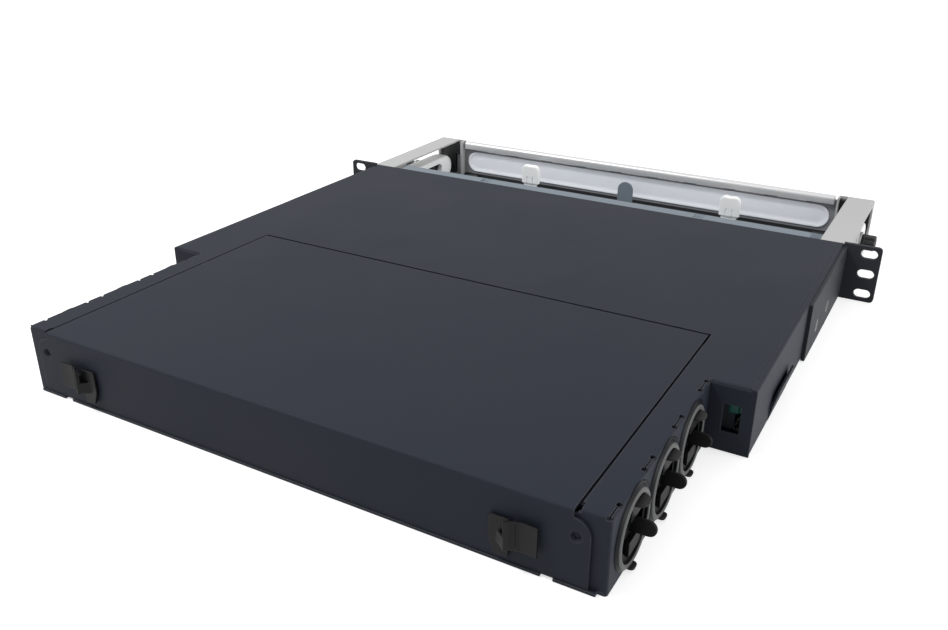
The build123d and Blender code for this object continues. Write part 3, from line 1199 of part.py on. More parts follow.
def door_rail():
    """The rounded bar along the door's top edge, slotted to take the leaf."""
    half = DOOR_HALF - DOOR_RAIL_END
    front = TROUGH_FRONT - DOOR_RAIL_PROUD
    back = front + DOOR_RAIL_DEPTH
    bar = block(-half, half, front, back, RAIL_FOOT, RAIL_CROWN)
    bar -= rounder("X", (front, RAIL_CROWN), DOOR_RAIL_ROUND, (-1, 1), -half - 1, half + 1)
    bar -= rounder("X", (back, RAIL_CROWN), DOOR_RAIL_ROUND, (1, 1), -half - 1, half + 1)
    groove = block(-half - 1, half + 1, DOOR_FRONT, DOOR_BACK, RAIL_FOOT - 1, RAIL_FOOT + DOOR_RAIL_SLOT)
    return bar - groove


def write_case():
    """The pieces that stay with the rack."""
    write("chassis_tub", chassis_tub())
    write("top_cover", top_cover())
    write_pair("rack_ear", ear())
    write("ear_screws", *ear_screws())
    plugs = []
    for i, y in enumerate(GLAND_Y):
        ring, plug = gland_ring(y), gland_plug(y)
        write(f"gland_ring_right_{i + 1}", ring)
        write(f"gland_ring_left_{i + 1}", other_side(ring))
        plugs += [plug, other_side(plug)]
    write("gland_plugs", *plugs)
    write_pair("slide_outer", slide_outer())
    write("slide_rivets", *slide_rivets())
    bar = tie_bar()
    write("tie_bars", bar, other_side(bar))
    rear_spool = spool(TIE_BAR_X - REAR_SPOOL_INSET, BODY_DEPTH + REAR_SPOOL_BACK, CASE_FLOOR,
                       REAR_SPOOL_RADIUS)
    write("rear_spools", rear_spool, other_side(rear_spool))


def write_movers():
    """The rear cover, its latches and the middle of each slide."""
    write("rear_cover", rear_cover())
    write_pair("cover_latch", latch())
    write_pair("slide_middle", slide_middle())
    cages = ball_cages()
    write("ball_cages_right", *cages)
    write("ball_cages_left", *[other_side(cage) for cage in cages])


def write_drawer():
    """The tray with its slides' inner members, its modules and its spools."""
    write("drawer_tray", drawer_tray())
    write_pair("slide_inner", slide_inner())
    write_pair("release_lever", release_lever())
    pivot = lever_pivot()
    write("lever_pivots", pivot, other_side(pivot))
    write("front_rail", front_rail())
    plugs = []
    for i in range(MODULE_COUNT):
        write(f"module_body_{i + 1}", module_body(i))
        write(f"adapters_{i + 1}", *[adapter(x, z) for x, z in adapter_places(i)])
        plugs += [dust_plug(x, z) for x, z in adapter_places(i)]
    write("module_lids", *[module_lid(i) for i in range(MODULE_COUNT)])
    write("dust_plugs", *plugs)
    write("mpo_adapters", *mpo_adapters())
    write("module_guides", *module_guides())
    tray_spool = spool(SPOOL_X, SPOOL_Y, TRAY_FLOOR, SPOOL_RADIUS)
    write("slack_spools", tray_spool, other_side(tray_spool))


def write_trough():
    """The trough in front of the drawer, its side exits and its door."""
    write("trough_floor", trough_floor())
    write("finger_caps", finger_cap(-1), finger_cap(1))
    write_pair("trough_bracket", trough_bracket())
    write_pair("radius_guide", radius_guide())
    write_pair("guide_core", guide_core())
    write_pair("guide_knob", guide_knob())
    holder = catch_block()
    write("catch_blocks", holder, other_side(holder))
    pin = hinge_pin()
    write("hinge_pins", pin, other_side(pin))
    write("door_panel", door_panel())
    write("door_window", door_window())
    write("door_rail", door_rail())


write_case()
write_movers()
write_drawer()
write_trough()
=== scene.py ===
"""Looks of the sliding fibre patch drawer: paint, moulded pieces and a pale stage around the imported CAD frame."""

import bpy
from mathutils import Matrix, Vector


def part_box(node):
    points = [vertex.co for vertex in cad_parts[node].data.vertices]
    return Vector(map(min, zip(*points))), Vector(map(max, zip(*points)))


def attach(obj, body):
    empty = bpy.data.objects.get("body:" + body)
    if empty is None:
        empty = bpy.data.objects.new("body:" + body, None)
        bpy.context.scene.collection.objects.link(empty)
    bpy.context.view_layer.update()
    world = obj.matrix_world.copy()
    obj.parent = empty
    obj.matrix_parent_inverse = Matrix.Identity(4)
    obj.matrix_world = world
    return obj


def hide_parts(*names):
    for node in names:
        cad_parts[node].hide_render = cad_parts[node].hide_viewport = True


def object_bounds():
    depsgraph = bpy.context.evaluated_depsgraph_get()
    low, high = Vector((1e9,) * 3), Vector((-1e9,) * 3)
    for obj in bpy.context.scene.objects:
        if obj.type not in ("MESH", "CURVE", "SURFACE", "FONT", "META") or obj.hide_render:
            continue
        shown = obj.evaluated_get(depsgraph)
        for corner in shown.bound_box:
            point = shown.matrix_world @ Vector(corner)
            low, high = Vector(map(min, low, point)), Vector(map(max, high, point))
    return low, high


bl_info = {
    "name": "Sliding fibre patch drawer",
    "version": (1, 0, 0),
    "blender": (4, 5, 0),
    "location": "View3D > Sidebar > Patch drawer",
    "description": "Builds the finishes and the moulded pieces of a sliding fibre patch drawer",
    "category": "Object",
}

from math import cos, pi, radians, sin

import bpy
import numpy as np
from bpy.props import FloatProperty, FloatVectorProperty, IntProperty, PointerProperty
from mathutils import Matrix, Vector

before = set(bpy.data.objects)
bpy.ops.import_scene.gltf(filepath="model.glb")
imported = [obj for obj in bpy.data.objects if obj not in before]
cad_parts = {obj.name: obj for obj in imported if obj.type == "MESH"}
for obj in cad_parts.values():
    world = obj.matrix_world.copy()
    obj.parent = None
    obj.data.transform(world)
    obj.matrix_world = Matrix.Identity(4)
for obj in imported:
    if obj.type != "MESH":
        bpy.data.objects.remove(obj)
CAD_BOX = [list(corner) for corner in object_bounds()]

SIDES = ("right", "left")
ROWS = (1, 2, 3)
CASSETTES = (1, 2, 3, 4)

# Points round a full circle
ROUND = 64
GLAND_ROUND = 96
PLUG_ROUND = 72
SCREW_ROUND = 96
SPOOL_ROUND = 144
KNOB_ROUND = 160
CAP_ROUND = 220

# Steps of a quarter circle
CORNER_STEPS = 6
EDGE_STEPS = 4
GUIDE_STEPS = 8

# Distance of the ring that keeps a flat flat, the smallest step of a profile, which also stands for a radius of
# nothing, and the angle over which an edge shows sharp
HOLD = 0.00004
HAIR = 0.0001
CREASE = radians(38.0)

# Edge radius of a thin moulded sheet as a share of its thickness
SHEET_EDGE = 0.3


# Surfaces: every array of points is in metres in the drawer's own frame


class Shell:
    """Closed surfaces gathered into one array of points and lists of faces, each face array of 3 or 4 columns."""

    def __init__(self, points, faces):
        self.points = np.asarray(points, float).reshape(-1, 3)
        self.faces = faces

    def __add__(self, other):
        """Both surfaces side by side in one shell."""
        moved = [face + len(self.points) for face in other.faces]
        return Shell(np.vstack([self.points, other.points]), self.faces + moved)

    def triangles(self):
        """Every face as triangles; a four-sided one is split along its first diagonal."""
        split = [face if face.shape[1] == 3 else np.vstack([face[:, [0, 1, 2]], face[:, [0, 2, 3]]])
                 for face in self.faces]
        return np.vstack(split)

    def volume(self):
        """A sixth of the sum of the triple products of the triangles' corners."""
        a, b, c = (self.points[self.triangles()[:, i]] for i in range(3))
        return np.einsum("ij,ij->i", a, np.cross(b, c)).sum() / 6

    def outwards(self):
        """The same shell with its faces turned to the outside: a negative volume means that they look inwards."""
        middle = self.points.mean(0)
        if Shell(self.points - middle, self.faces).volume() < 0:
            return Shell(self.points, [face[:, ::-1] for face in self.faces])
        return self

    def moved(self, x=0.0, y=0.0, z=0.0):
        """The shell shifted by x, y and z."""
        return Shell(self.points + np.array([x, y, z]), self.faces)

    def mirrored(self):
        """The shell with every x negated, and its faces turned back round."""
        return Shell(self.points * np.array([-1.0, 1.0, 1.0]), [face[:, ::-1] for face in self.faces])

    def side(self, name):
        """The shell as drawn for the right-hand side, or its mirror image for the left."""
        return self if name == "right" else self.mirrored()


def carried(rings, loop=False):
    """A skin over closed rings: rings[k, i] joins rings[k + 1, i] and rings[k, i + 1]. With loop the last ring
    joins the first; without it each end is closed by a fan to the ring's mean point."""
    rings = np.asarray(rings, float)
    count, around = rings.shape[:2]
    index = np.arange(count * around).reshape(count, around)
    below = index if loop else index[:-1]
    above = np.roll(index, -1, axis=0) if loop else index[1:]
    quads = np.stack([below, np.roll(below, -1, axis=1), np.roll(above, -1, axis=1), above], axis=-1).reshape(-1, 4)
    points, faces = rings.reshape(-1, 3), [quads]
    if not loop:
        points = np.vstack([points, rings[0].mean(0), rings[-1].mean(0)])
        first, last = index[0], index[-1]
        lower = np.stack([np.roll(first, -1), first, np.full(around, count * around)], axis=-1)
        upper = np.stack([last, np.roll(last, -1), np.full(around, count * around + 1)], axis=-1)
        faces += [lower, upper]
    return Shell(points, faces).outwards()


def gathered(shells):
    """Several shells side by side in one."""
    whole = shells[0]
    for shell in shells[1:]:
        whole = whole + shell
    return whole


def bend(start, stop, steps=CORNER_STEPS):
    """Cosine and sine of evenly spaced angles in degrees, both ends included."""
    angle = np.radians(np.linspace(start, stop, steps + 1))
    return np.cos(angle), np.sin(angle)


def rounded(width, height, corners, inset=0.0):
    """A rectangle's outline about zero with a quarter circle at each corner, counted from upper right
    anticlockwise; inset shrinks width, height and radii alike."""
    corners = np.broadcast_to(np.asarray(corners, float), 4)
    half = np.array([width, height]) / 2 - inset
    radii = np.clip(corners - inset, HOLD, min(half))
    arcs = []
    for turn, (radius, signs) in enumerate(zip(radii, ((1, 1), (-1, 1), (-1, -1), (1, -1)))):
        across, up = bend(90 * turn, 90 * turn + 90)
        centre = np.array(signs) * (half - radius)
        arcs.append(np.stack([centre[0] + radius * across, centre[1] + radius * up], axis=-1))
    return np.vstack(arcs)


def around(count):
    """Evenly spaced angles of a full turn that starts at zero."""
    return np.linspace(0, 2 * pi, count, endpoint=False)


def polar(radius, angle):
    """Points at these angles, at one distance from zero or at one for each."""
    return np.stack([radius * np.cos(angle), radius * np.sin(angle)], axis=-1)


def soft_edges(thick, radius, steps=EDGE_STEPS):
    """Pairs of inset and depth that carry an outline through a plate: a quarter circle of the radius at each
    face and a straight wall between, with a close second ring on each flat to keep it flat."""
    across, up = bend(90, 0, steps)
    foot = np.stack([radius * (1 - across), radius * (1 - up)], axis=-1)
    wall = np.array([[0, radius + HOLD], [0, thick - radius - HOLD]])
    head = np.stack([foot[::-1, 0], thick - foot[::-1, 1]], axis=-1)
    return np.vstack([[[radius + HOLD, 0]], foot, wall, head, [[radius + HOLD, thick]]])


def placed(outline, depth, axis):
    """A flat outline at one depth along an axis, or at one for each point: its two columns run along the other
    two axes in order."""
    depth = np.broadcast_to(depth, len(outline))
    columns = {"X": (depth, outline[:, 0], outline[:, 1]), "Y": (outline[:, 0], depth, outline[:, 1]),
               "Z": (outline[:, 0], outline[:, 1], depth)}
    return np.stack(columns[axis], axis=-1)


def lathed(profile, count=ROUND):
    """A solid turned about X from pairs of radius and height, closed on the axis at its first and last height."""
    return turned([(HAIR, profile[0][1]), *profile, (HAIR, profile[-1][1])], "X", count=count)


def stacked(outline, steps, axis):
    """A solid whose section at depth steps[k][1] is the outline shrunk by steps[k][0]."""
    return carried(np.stack([placed(outline(inset), depth, axis) for inset, depth in steps]))


def plate(width, height, corners, thick, edge, axis):
    """A flat piece with a rounded outline and rounded edges, its outline's middle at zero and its foot at zero."""
    return stacked(lambda inset: rounded(width, height, corners, inset), soft_edges(thick, edge), axis)


def brick(low, high, edge):
    """A box between two corners with every edge rounded alike."""
    low, high = np.array(low), np.array(high)
    size, middle = high - low, (low + high) / 2
    return plate(size[0], size[1], edge, size[2], edge, "Z").moved(middle[0], middle[1], low[2])


def turned(profile, axis, loop=False, count=ROUND):
    """A profile of radius and height carried round an axis through zero; a loop closes into a ring."""
    return carried(np.stack([placed(polar(radius, around(count)), height, axis) for radius, height in profile]), loop)


def thickened(line, thick):
    """Both skins of a bent sheet: the line, and the line moved by the thickness along its left-hand normal."""
    step = np.gradient(line, axis=0)
    normal = np.stack([-step[:, 1], step[:, 0]], axis=-1) / np.linalg.norm(step, axis=1)[:, None]
    return line, line + normal * thick


def curved_strip(line, thick, low, high, edge):
    """A thin bent strip standing along Z. Its section is the thickened line; near each end the section's two
    skins close in by the edge radius times one minus the sine of the angle travelled. Each end is closed by
    four-sided faces from one skin to the other."""
    outer, inner = thickened(line, thick)
    middle, reach = (outer + inner) / 2, (outer - inner) / 2
    rings = []
    for inset, depth in soft_edges(high - low, edge):
        share = 1 - 2 * inset / thick
        section = np.vstack([middle + reach * share, (middle - reach * share)[::-1]])
        rings.append(placed(section, low + depth, "Z"))
    rings = np.stack(rings)
    count = len(outer)
    shell = carried(rings)
    shell.points = shell.points[:-2]
    lower, upper = (np.arange(2 * count) + start for start in (0, (len(rings) - 1) * 2 * count))
    caps = []
    for ring, flip in ((lower, 1), (upper, -1)):
        one, two = ring[:count], ring[count:][::-1]
        cap = np.stack([one[:-1], one[1:], two[1:], two[:-1]], axis=-1)
        caps.append(cap[:, ::flip])
    wall = Shell(shell.points, [shell.faces[0]] + caps)
    turned_back = Shell(shell.points, [shell.faces[0]] + [cap[:, ::-1] for cap in caps])
    return wall if closed(wall) else turned_back


def closed(shell):
    """True where every edge is walked once in each direction, so that no face is turned against its neighbours."""
    tri = shell.triangles()
    edges = np.vstack([tri[:, [0, 1]], tri[:, [1, 2]], tri[:, [2, 0]]])
    key = edges[:, 0] * len(shell.points) + edges[:, 1]
    return len(np.unique(key)) == len(key)


# Materials: noise scales count waves per metre, and depths and radii are in metres


PAINT_CLOUDS = 14.0
PAINT_FOLD = 0.0008
PAINT_DEPTH = 0.00004
MOULD_GRAIN = 0.00045
MOULD_FLOW = 40.0
MOULD_EDGE = 0.0003
MOULD_DEPTH = 0.00002
LINE_DEPTH = 0.00001

# Marks of rolling and extrusion, the bloom of zinc and the grain of frost, per metre, and how far lines are drawn
# out along Y and along X
ROLLING_LINES = 3000.0
EXTRUSION_LINES = 2600.0
BLOOM = 60.0
FROST = 1800.0
ALONG_Y = (1.0, 0.03, 1.0)
ALONG_X = (0.02, 1.0, 1.0)

# How steeply the door leaf's grey changes over to its band of painted shade, as share per metre
STRIP_SHARPNESS = 20000.0


def maths(operation, swapped=False):
    """A method that adds a Math node for two values, taken in turned order where swapped."""
    def method(self, other):
        first, second = (other, self) if swapped else (self, other)
        return self.nodes.node("ShaderNodeMath", {"operation": operation}, {0: first, 1: second})
    return method


class Sock:
    """An output of a shader node. Sums, differences and products of it lay down Math nodes in its tree."""

    def __init__(self, nodes, socket):
        self.nodes = nodes
        self.socket = socket

    __add__, __radd__ = maths("ADD"), maths("ADD", True)
    __sub__, __rsub__ = maths("SUBTRACT"), maths("SUBTRACT", True)
    __mul__, __rmul__ = maths("MULTIPLY"), maths("MULTIPLY", True)

    def within(self, low, high):
        """The value held between two limits."""
        return self.nodes.node("ShaderNodeClamp", {}, {"Value": self, "Min": low, "Max": high})


class Nodes:
    """A node tree on the make, and the one way in which a node is added to it."""

    def __init__(self, tree):
        self.tree = tree

    def node(self, kind, settings, inputs, output=0):
        """A node of one type with its settings, then the values or links of its sockets."""
        made = self.tree.nodes.new(kind)
        for key, value in settings.items():
            setattr(made, key, value)
        for key, value in inputs.items():
            self.put(made.inputs[key], value)
        return Sock(self, made.outputs[output])

    def put(self, socket, value):
        """A link where the value is a socket of this tree, a plain value otherwise."""
        if isinstance(value, Sock):
            self.tree.links.new(value.socket, socket)
        else:
            socket.default_value = value

    def seen(self, *rays):
        """One for rays of these kinds, nothing for all others."""
        share = 0.0
        for ray in rays:
            share = share + self.node("ShaderNodeLightPath", {}, {}, f"Is {ray} Ray")
        return share.within(0.0, 1.0)


class Finish(Nodes):
    """A material on the make, with its main shader."""

    def __init__(self, name, colour, roughness, **uniform):
        self.material = bpy.data.materials.new(name)
        self.material.use_nodes = True
        super().__init__(self.material.node_tree)
        self.shader = self.tree.nodes["Principled BSDF"]
        self.material.diffuse_color = (*colour, 1.0)
        self.set("Base Color", (*colour, 1.0))
        self.set("Roughness", roughness)
        for socket, value in uniform.items():
            self.set(socket.replace("_", " "), value)

    def set(self, name, value):
        """One socket of the main shader."""
        self.put(self.shader.inputs[name], value)

    def place(self, stretch=(1.0, 1.0, 1.0)):
        """The point on the piece in metres, stretched per axis."""
        point = self.node("ShaderNodeTexCoord", {}, {}, "Object")
        return self.node("ShaderNodeMapping", {}, {"Vector": point, "Scale": stretch})

    def noise(self, scale, detail=2.0, stretch=(1.0, 1.0, 1.0)):
        """Fractal noise of a size given by its scale per metre."""
        return self.node("ShaderNodeTexNoise", {},
                         {"Vector": self.place(stretch), "Scale": scale, "Detail": detail, "Roughness": 0.55})

    def mix(self, share, first, second):
        """A colour between two, by share."""
        return self.node("ShaderNodeMix", {"data_type": "RGBA"},
                         {"Factor": share, 6: shade(first), 7: shade(second)}, 2)

    def soft_normal(self, radius):
        """The normal as it would be with every edge rounded by a radius."""
        return self.node("ShaderNodeBevel", {"samples": 4}, {"Radius": radius})

    def edges(self, softened, strength):
        """Near one along edges: one minus the cosine between the softened normal and the true one."""
        true_normal = self.node("ShaderNodeNewGeometry", {}, {}, "Normal")
        facing = self.node("ShaderNodeVectorMath", {"operation": "DOT_PRODUCT"},
                           {0: softened, 1: true_normal}, "Value")
        return ((1 - facing) * strength).within(0.0, 1.0)

    def bumps(self, height, distance, strength, normal=None):
        """The normal over a height map whose full range is a distance in metres."""
        inputs = {"Height": height, "Distance": distance, "Strength": strength}
        if normal is not None:
            inputs["Normal"] = normal
        self.set("Normal", self.node("ShaderNodeBump", {}, inputs))


def shade(colour):
    """A colour with its fourth part, or the socket that carries one."""
    return colour if isinstance(colour, Sock) else (*tuple(colour)[:3], 1.0)


def lighter(colour, share):
    """A colour moved towards white by a share."""
    return tuple(c + (1 - c) * share for c in tuple(colour)[:3])


def scaled(colour, share):
    """A colour darkened or lightened by one factor."""
    return tuple(c * share for c in colour)


def powder_coat(name, colour, roughness, grain, fold_highlight, gloss=0.12):
    """Baked powder paint: a fine pebbled skin, slow clouds in its sheen, and folds that catch the light through a
    softened normal and a painted highlight in the colour.
    """
    finish = Finish(name, colour, roughness, Specular_IOR_Level=gloss)
    pebbles = finish.noise(1 / grain, detail=2.0)
    clouds = finish.noise(PAINT_CLOUDS, detail=3.0)
    softened = finish.soft_normal(PAINT_FOLD)
    folds = finish.edges(softened, strength=2.2)
    tone = finish.mix(clouds.within(0.3, 0.7), scaled(colour, 0.94), scaled(colour, 1.06))
    # Painted highlight: the colour lightens along folds and cut edges by the fold highlight share.
    finish.set("Base Color", finish.mix(folds * fold_highlight, tone, lighter(colour, 0.16)))
    finish.set("Roughness", roughness + (clouds - 0.5) * 0.12 + (pebbles - 0.5) * 0.06)
    finish.bumps(pebbles, PAINT_DEPTH, strength=0.35, normal=softened)
    return finish.material


def moulded(name, colour, roughness, gloss=0.4, pale=None):
    """Injection-moulded plastic: a spark-eroded grain, soft edges and a slightly uneven gloss. Without a pale colour,
    the edges carry a painted highlight. With a pale colour, the piece's tone attribute carries the plastic from the
    first colour to it instead, as painted light and shade."""
    finish = Finish(name, colour, roughness, Specular_IOR_Level=gloss)
    skin = finish.noise(1 / MOULD_GRAIN, detail=1.0)
    flow = finish.noise(MOULD_FLOW, detail=2.0)
    softened = finish.soft_normal(MOULD_EDGE)
    rim_highlight = finish.edges(softened, strength=1.6) * 0.5
    if pale is None:
        # Painted highlight: the colour lightens along the edges.
        finish.set("Base Color", finish.mix(rim_highlight, colour, lighter(colour, 0.12)))
    else:
        # Painted light and shade: the tone attribute carries the colour towards the pale one where the piece is lit.
        tone = finish.node("ShaderNodeAttribute", {"attribute_name": "tone"}, {}, "Fac")
        finish.set("Base Color", finish.mix(tone, colour, pale))
    finish.set("Roughness", roughness + (flow - 0.5) * 0.1)
    finish.bumps(skin, MOULD_DEPTH, strength=0.3, normal=softened)
    return finish.material


def leaf_with_shade_band(name, colour, painted_shade_colour, level, roughness):
    """Moulded plastic whose lower part, under a level in the frame, is painted a dark second colour as painted shade.
    """
    finish = Finish(name, colour, roughness, Specular_IOR_Level=0.35)
    height = finish.node("ShaderNodeSeparateXYZ", {}, {"Vector": finish.place()}, "Z")
    # Painted shade: under the level the leaf turns to the dark colour, standing for the shadowed gap below the door.
    share = ((level - height) * STRIP_SHARPNESS + 0.5).within(0.0, 1.0)
    skin = finish.noise(1 / MOULD_GRAIN, detail=1.0)
    finish.set("Base Color", finish.mix(share, colour, painted_shade_colour))
    finish.bumps(skin, MOULD_DEPTH, strength=0.3, normal=finish.soft_normal(MOULD_EDGE))
    return finish.material


def plated(name, colour, roughness, along=ALONG_Y):
    """Rolled and zinc-plated steel: fine lines along the slide and a faint cloudy bloom."""
    finish = Finish(name, colour, roughness, Metallic=1.0)
    lines = finish.noise(ROLLING_LINES, 2.0, along)
    bloom = finish.noise(BLOOM, detail=3.0)
    finish.set("Base Color", finish.mix(bloom.within(0.35, 0.75), scaled(colour, 0.86), colour))
    finish.set("Roughness", roughness + (lines - 0.5) * 0.18 + (bloom - 0.5) * 0.12)
    finish.bumps(lines, LINE_DEPTH, strength=0.25)
    return finish.material


def anodised(name, colour, roughness):
    """Satin anodised aluminium: extrusion lines along its length under a hard skin."""
    finish = Finish(name, colour, roughness, Metallic=0.35)
    lines = finish.noise(EXTRUSION_LINES, 1.0, ALONG_X)
    finish.set("Roughness", roughness + (lines - 0.5) * 0.14)
    finish.bumps(lines, LINE_DEPTH, strength=0.15)
    return finish.material


def frosted(name, colour, roughness, clear):
    """Frosted lens plastic that lets some of the light through."""
    finish = Finish(name, colour, roughness, Transmission_Weight=clear, IOR=1.46)
    frost = finish.noise(FROST, detail=1.0)
    finish.set("Roughness", roughness + (frost - 0.5) * 0.08)
    finish.bumps(frost, LINE_DEPTH, strength=0.2)
    return finish.material


# Pieces on the frame


def span(node):
    """The lowest and the highest corner of a CAD node and its middle, as arrays in metres."""
    low, high = (np.array(corner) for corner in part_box(node))
    return low, high, (low + high) / 2


def faces_x(node):
    """How far a node's inner and outer face lie from the drawer's middle plane."""
    low, high, _ = span(node)
    return sorted((abs(low[0]), abs(high[0])))


def dress(names, material):
    """CAD nodes keep their shape and take a material."""
    for name in names:
        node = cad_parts[name]
        node.data.materials.clear()
        node.data.materials.append(material)


def piece(name, shell, material, body, node, tone=None):
    """A shell made into a mesh object that rides on a body and stands for a CAD node. With tone, a share per point
    between the finish's two colours goes along as an attribute."""
    mesh = bpy.data.meshes.new(name)
    mesh.from_pydata(shell.points.tolist(), [], sum((face.tolist() for face in shell.faces), []))
    mesh.materials.append(material)
    mesh.polygons.foreach_set("use_smooth", np.ones(len(mesh.polygons), bool))
    mesh.set_sharp_from_angle(angle=CREASE)
    if tone is not None:
        mesh.attributes.new("tone", "FLOAT", "POINT").data.foreach_set("value", np.asarray(tone, np.float32))
    mesh.update()
    made = bpy.data.objects.new(name, mesh)
    bpy.context.scene.collection.objects.link(made)
    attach(made, body)
    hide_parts(node)


def both_sides(name, shell, material, body, node, tone=None):
    """The right-hand shell and its mirror image. The names of piece, body and node hold * for the side."""
    for side in SIDES:
        called, rides_on, stands_for = (text.replace("*", side) for text in (name, body, node))
        piece(called, shell.side(side), material, rides_on, stands_for, tone)


def gland_ring_shell(sizes, node):
    """A ring whose section runs round a snap edge, a neck, a sloping flange, a low convex lip and a bore tube; all
    that stands outside the wall is shifted off the neck's middle. With it comes the tone of each point, the third
    column of the table, which paints light and shade: none, a painted shade, on the flange, full, a painted
    highlight, on the lip, and in the bore a painted patch of light that fades in with the sine of the angle and out
    with its cosine."""
    near, far = faces_x(node)
    wall = far - sizes.lip_proud
    inner, catch = near - wall, -sizes.wall
    neck, bore, lip, rim, top = sizes.neck, sizes.bore, sizes.lip, sizes.rim, sizes.lip_proud
    snap, tube, hill = neck + sizes.snap, neck - sizes.tube_wall, top * 0.62
    bore_lit = -1
    sections = np.array([
        [tube, inner + 0.0002, 0], [tube + 0.0002, inner, 0], [snap - 0.0006, inner, 0], [snap, inner + 0.0008, 0],
        [snap, catch - 0.0001, 0], [snap - 0.0001, catch, 0], [neck, catch, 0], [neck, 0.0, 0],
        [rim - 0.0001, 0.0, 0], [rim, 0.0002, 0], [rim - 0.0003, 0.0005, 0], [lip + 0.0003, hill, 0],
        [lip + 0.0001, hill + 0.0001, 0.1], [lip, hill + 0.0003, 1], [lip - 0.0004, top - 0.0003, 1],
        [lip - 0.0011, top - 0.0001, 1], [(lip + bore) / 2, top, 1], [bore + 0.0006, top - 0.0001, 1],
        [bore + 0.0001, top - 0.0004, 1], [bore, top - 0.0007, 0.35], [bore, top - 0.0009, bore_lit],
        [bore, 0.0001, bore_lit]])
    shell = turned(sections[:, :2], "X", loop=True, count=GLAND_ROUND)
    up, front = polar(1.0, around(GLAND_ROUND)).T[::-1]
    # Painted light in the bore, strongest in its upper front quarter.
    bore_light_patch = np.clip((up - 0.35) / 0.3, 0, 1) * np.clip((0.45 - front) / 0.3, 0, 1)
    shares = sections[:, 2:]
    tone = np.where(shares == bore_lit, bore_light_patch[None], shares)
    _, _, middle = span(node)
    outside = (sections[:, 1] > 0).repeat(GLAND_ROUND)[:, None]
    shell.points += outside * np.array([0.0, sizes.shift_back, -sizes.shift_down])
    return shell.moved(wall, middle[1], middle[2]), tone.ravel()


def gland_plug_shell(sizes):
    """A shelf and a cup crossed by a broad upright web, with a round-ended tongue at its middle, a flat one above
    and a small one at the lip's foot, drawn with the wall's outside at zero; the tone of each point is one on the
    two flat tongues, a painted highlight on their lit tops, and nothing elsewhere."""
    bore, skirt = sizes.bore - HAIR, sizes.cup
    wall, ledge, edge = 0.0012, 0.0008, 0.0002
    back, shelf, bed = -sizes.depth, HAIR, sizes.cup_floor - sizes.depth
    under, over = shelf - 0.0003, shelf + HAIR
    shell = lathed([(skirt + 0.0008, back), (skirt + wall, back + 0.0004), (skirt + wall, under),
                    (bore - ledge, under), (bore - ledge, over), (skirt + edge, over), (skirt, shelf - edge),
                    (skirt, bed + edge), (skirt - edge, bed)], PLUG_ROUND)
    ring = [(skirt - 0.001, shelf - edge), (bore, shelf - edge), (bore, shelf + 0.0003),
            (skirt - 0.001, shelf + 0.0003)]
    shell += turned(ring, "X", loop=True, count=PLUG_ROUND).moved(0, sizes.shift_back, -sizes.shift_down)
    half, top, root, round_edge = sizes.web / 2, sizes.web_proud, back + 0.001, 0.0003
    arm, gap = sizes.tongue_offset, sizes.tongue_width / 2 + sizes.notch
    web = brick((root, -half, -arm), (top, half, -gap), round_edge)
    web += brick((root, -half, gap), (top, half, arm - 0.0006), round_edge)
    web += brick((root, -half, -gap - 0.001), (top - 2 * sizes.notch, half, gap + 0.001), round_edge)
    tip = sizes.tongue_reach
    dark = shell + web + tongue(root, tip, sizes.tongue_width, sizes.tongue_thick, "Y")
    upper = tongue(root, tip - sizes.tongue_short, sizes.flat_width, sizes.flat_thick, "Z")
    lower = tongue(sizes.low_start, sizes.low_reach, sizes.low_width, sizes.flat_thick, "Z")
    grey = upper.moved(0, 0, arm) + lower.moved(0, sizes.low_back, -sizes.low_offset)
    return dark + grey, np.repeat([0.0, 1.0], [len(dark.points), len(grey.points)])


def tongue(root, tip, width, thick, axis):
    """A flat blade along X: a rectangle whose far corners are quarter circles of half its width."""
    round_end, root_corner = width / 2 - HAIR, 2 * HAIR
    corners = (round_end, root_corner, root_corner, round_end)
    blade = plate(tip - root, width, corners, thick, thick * SHEET_EDGE, axis)
    middle = (root + tip) / 2
    return blade.moved(middle, -thick / 2, 0) if axis == "Y" else blade.moved(middle, 0, -thick / 2)


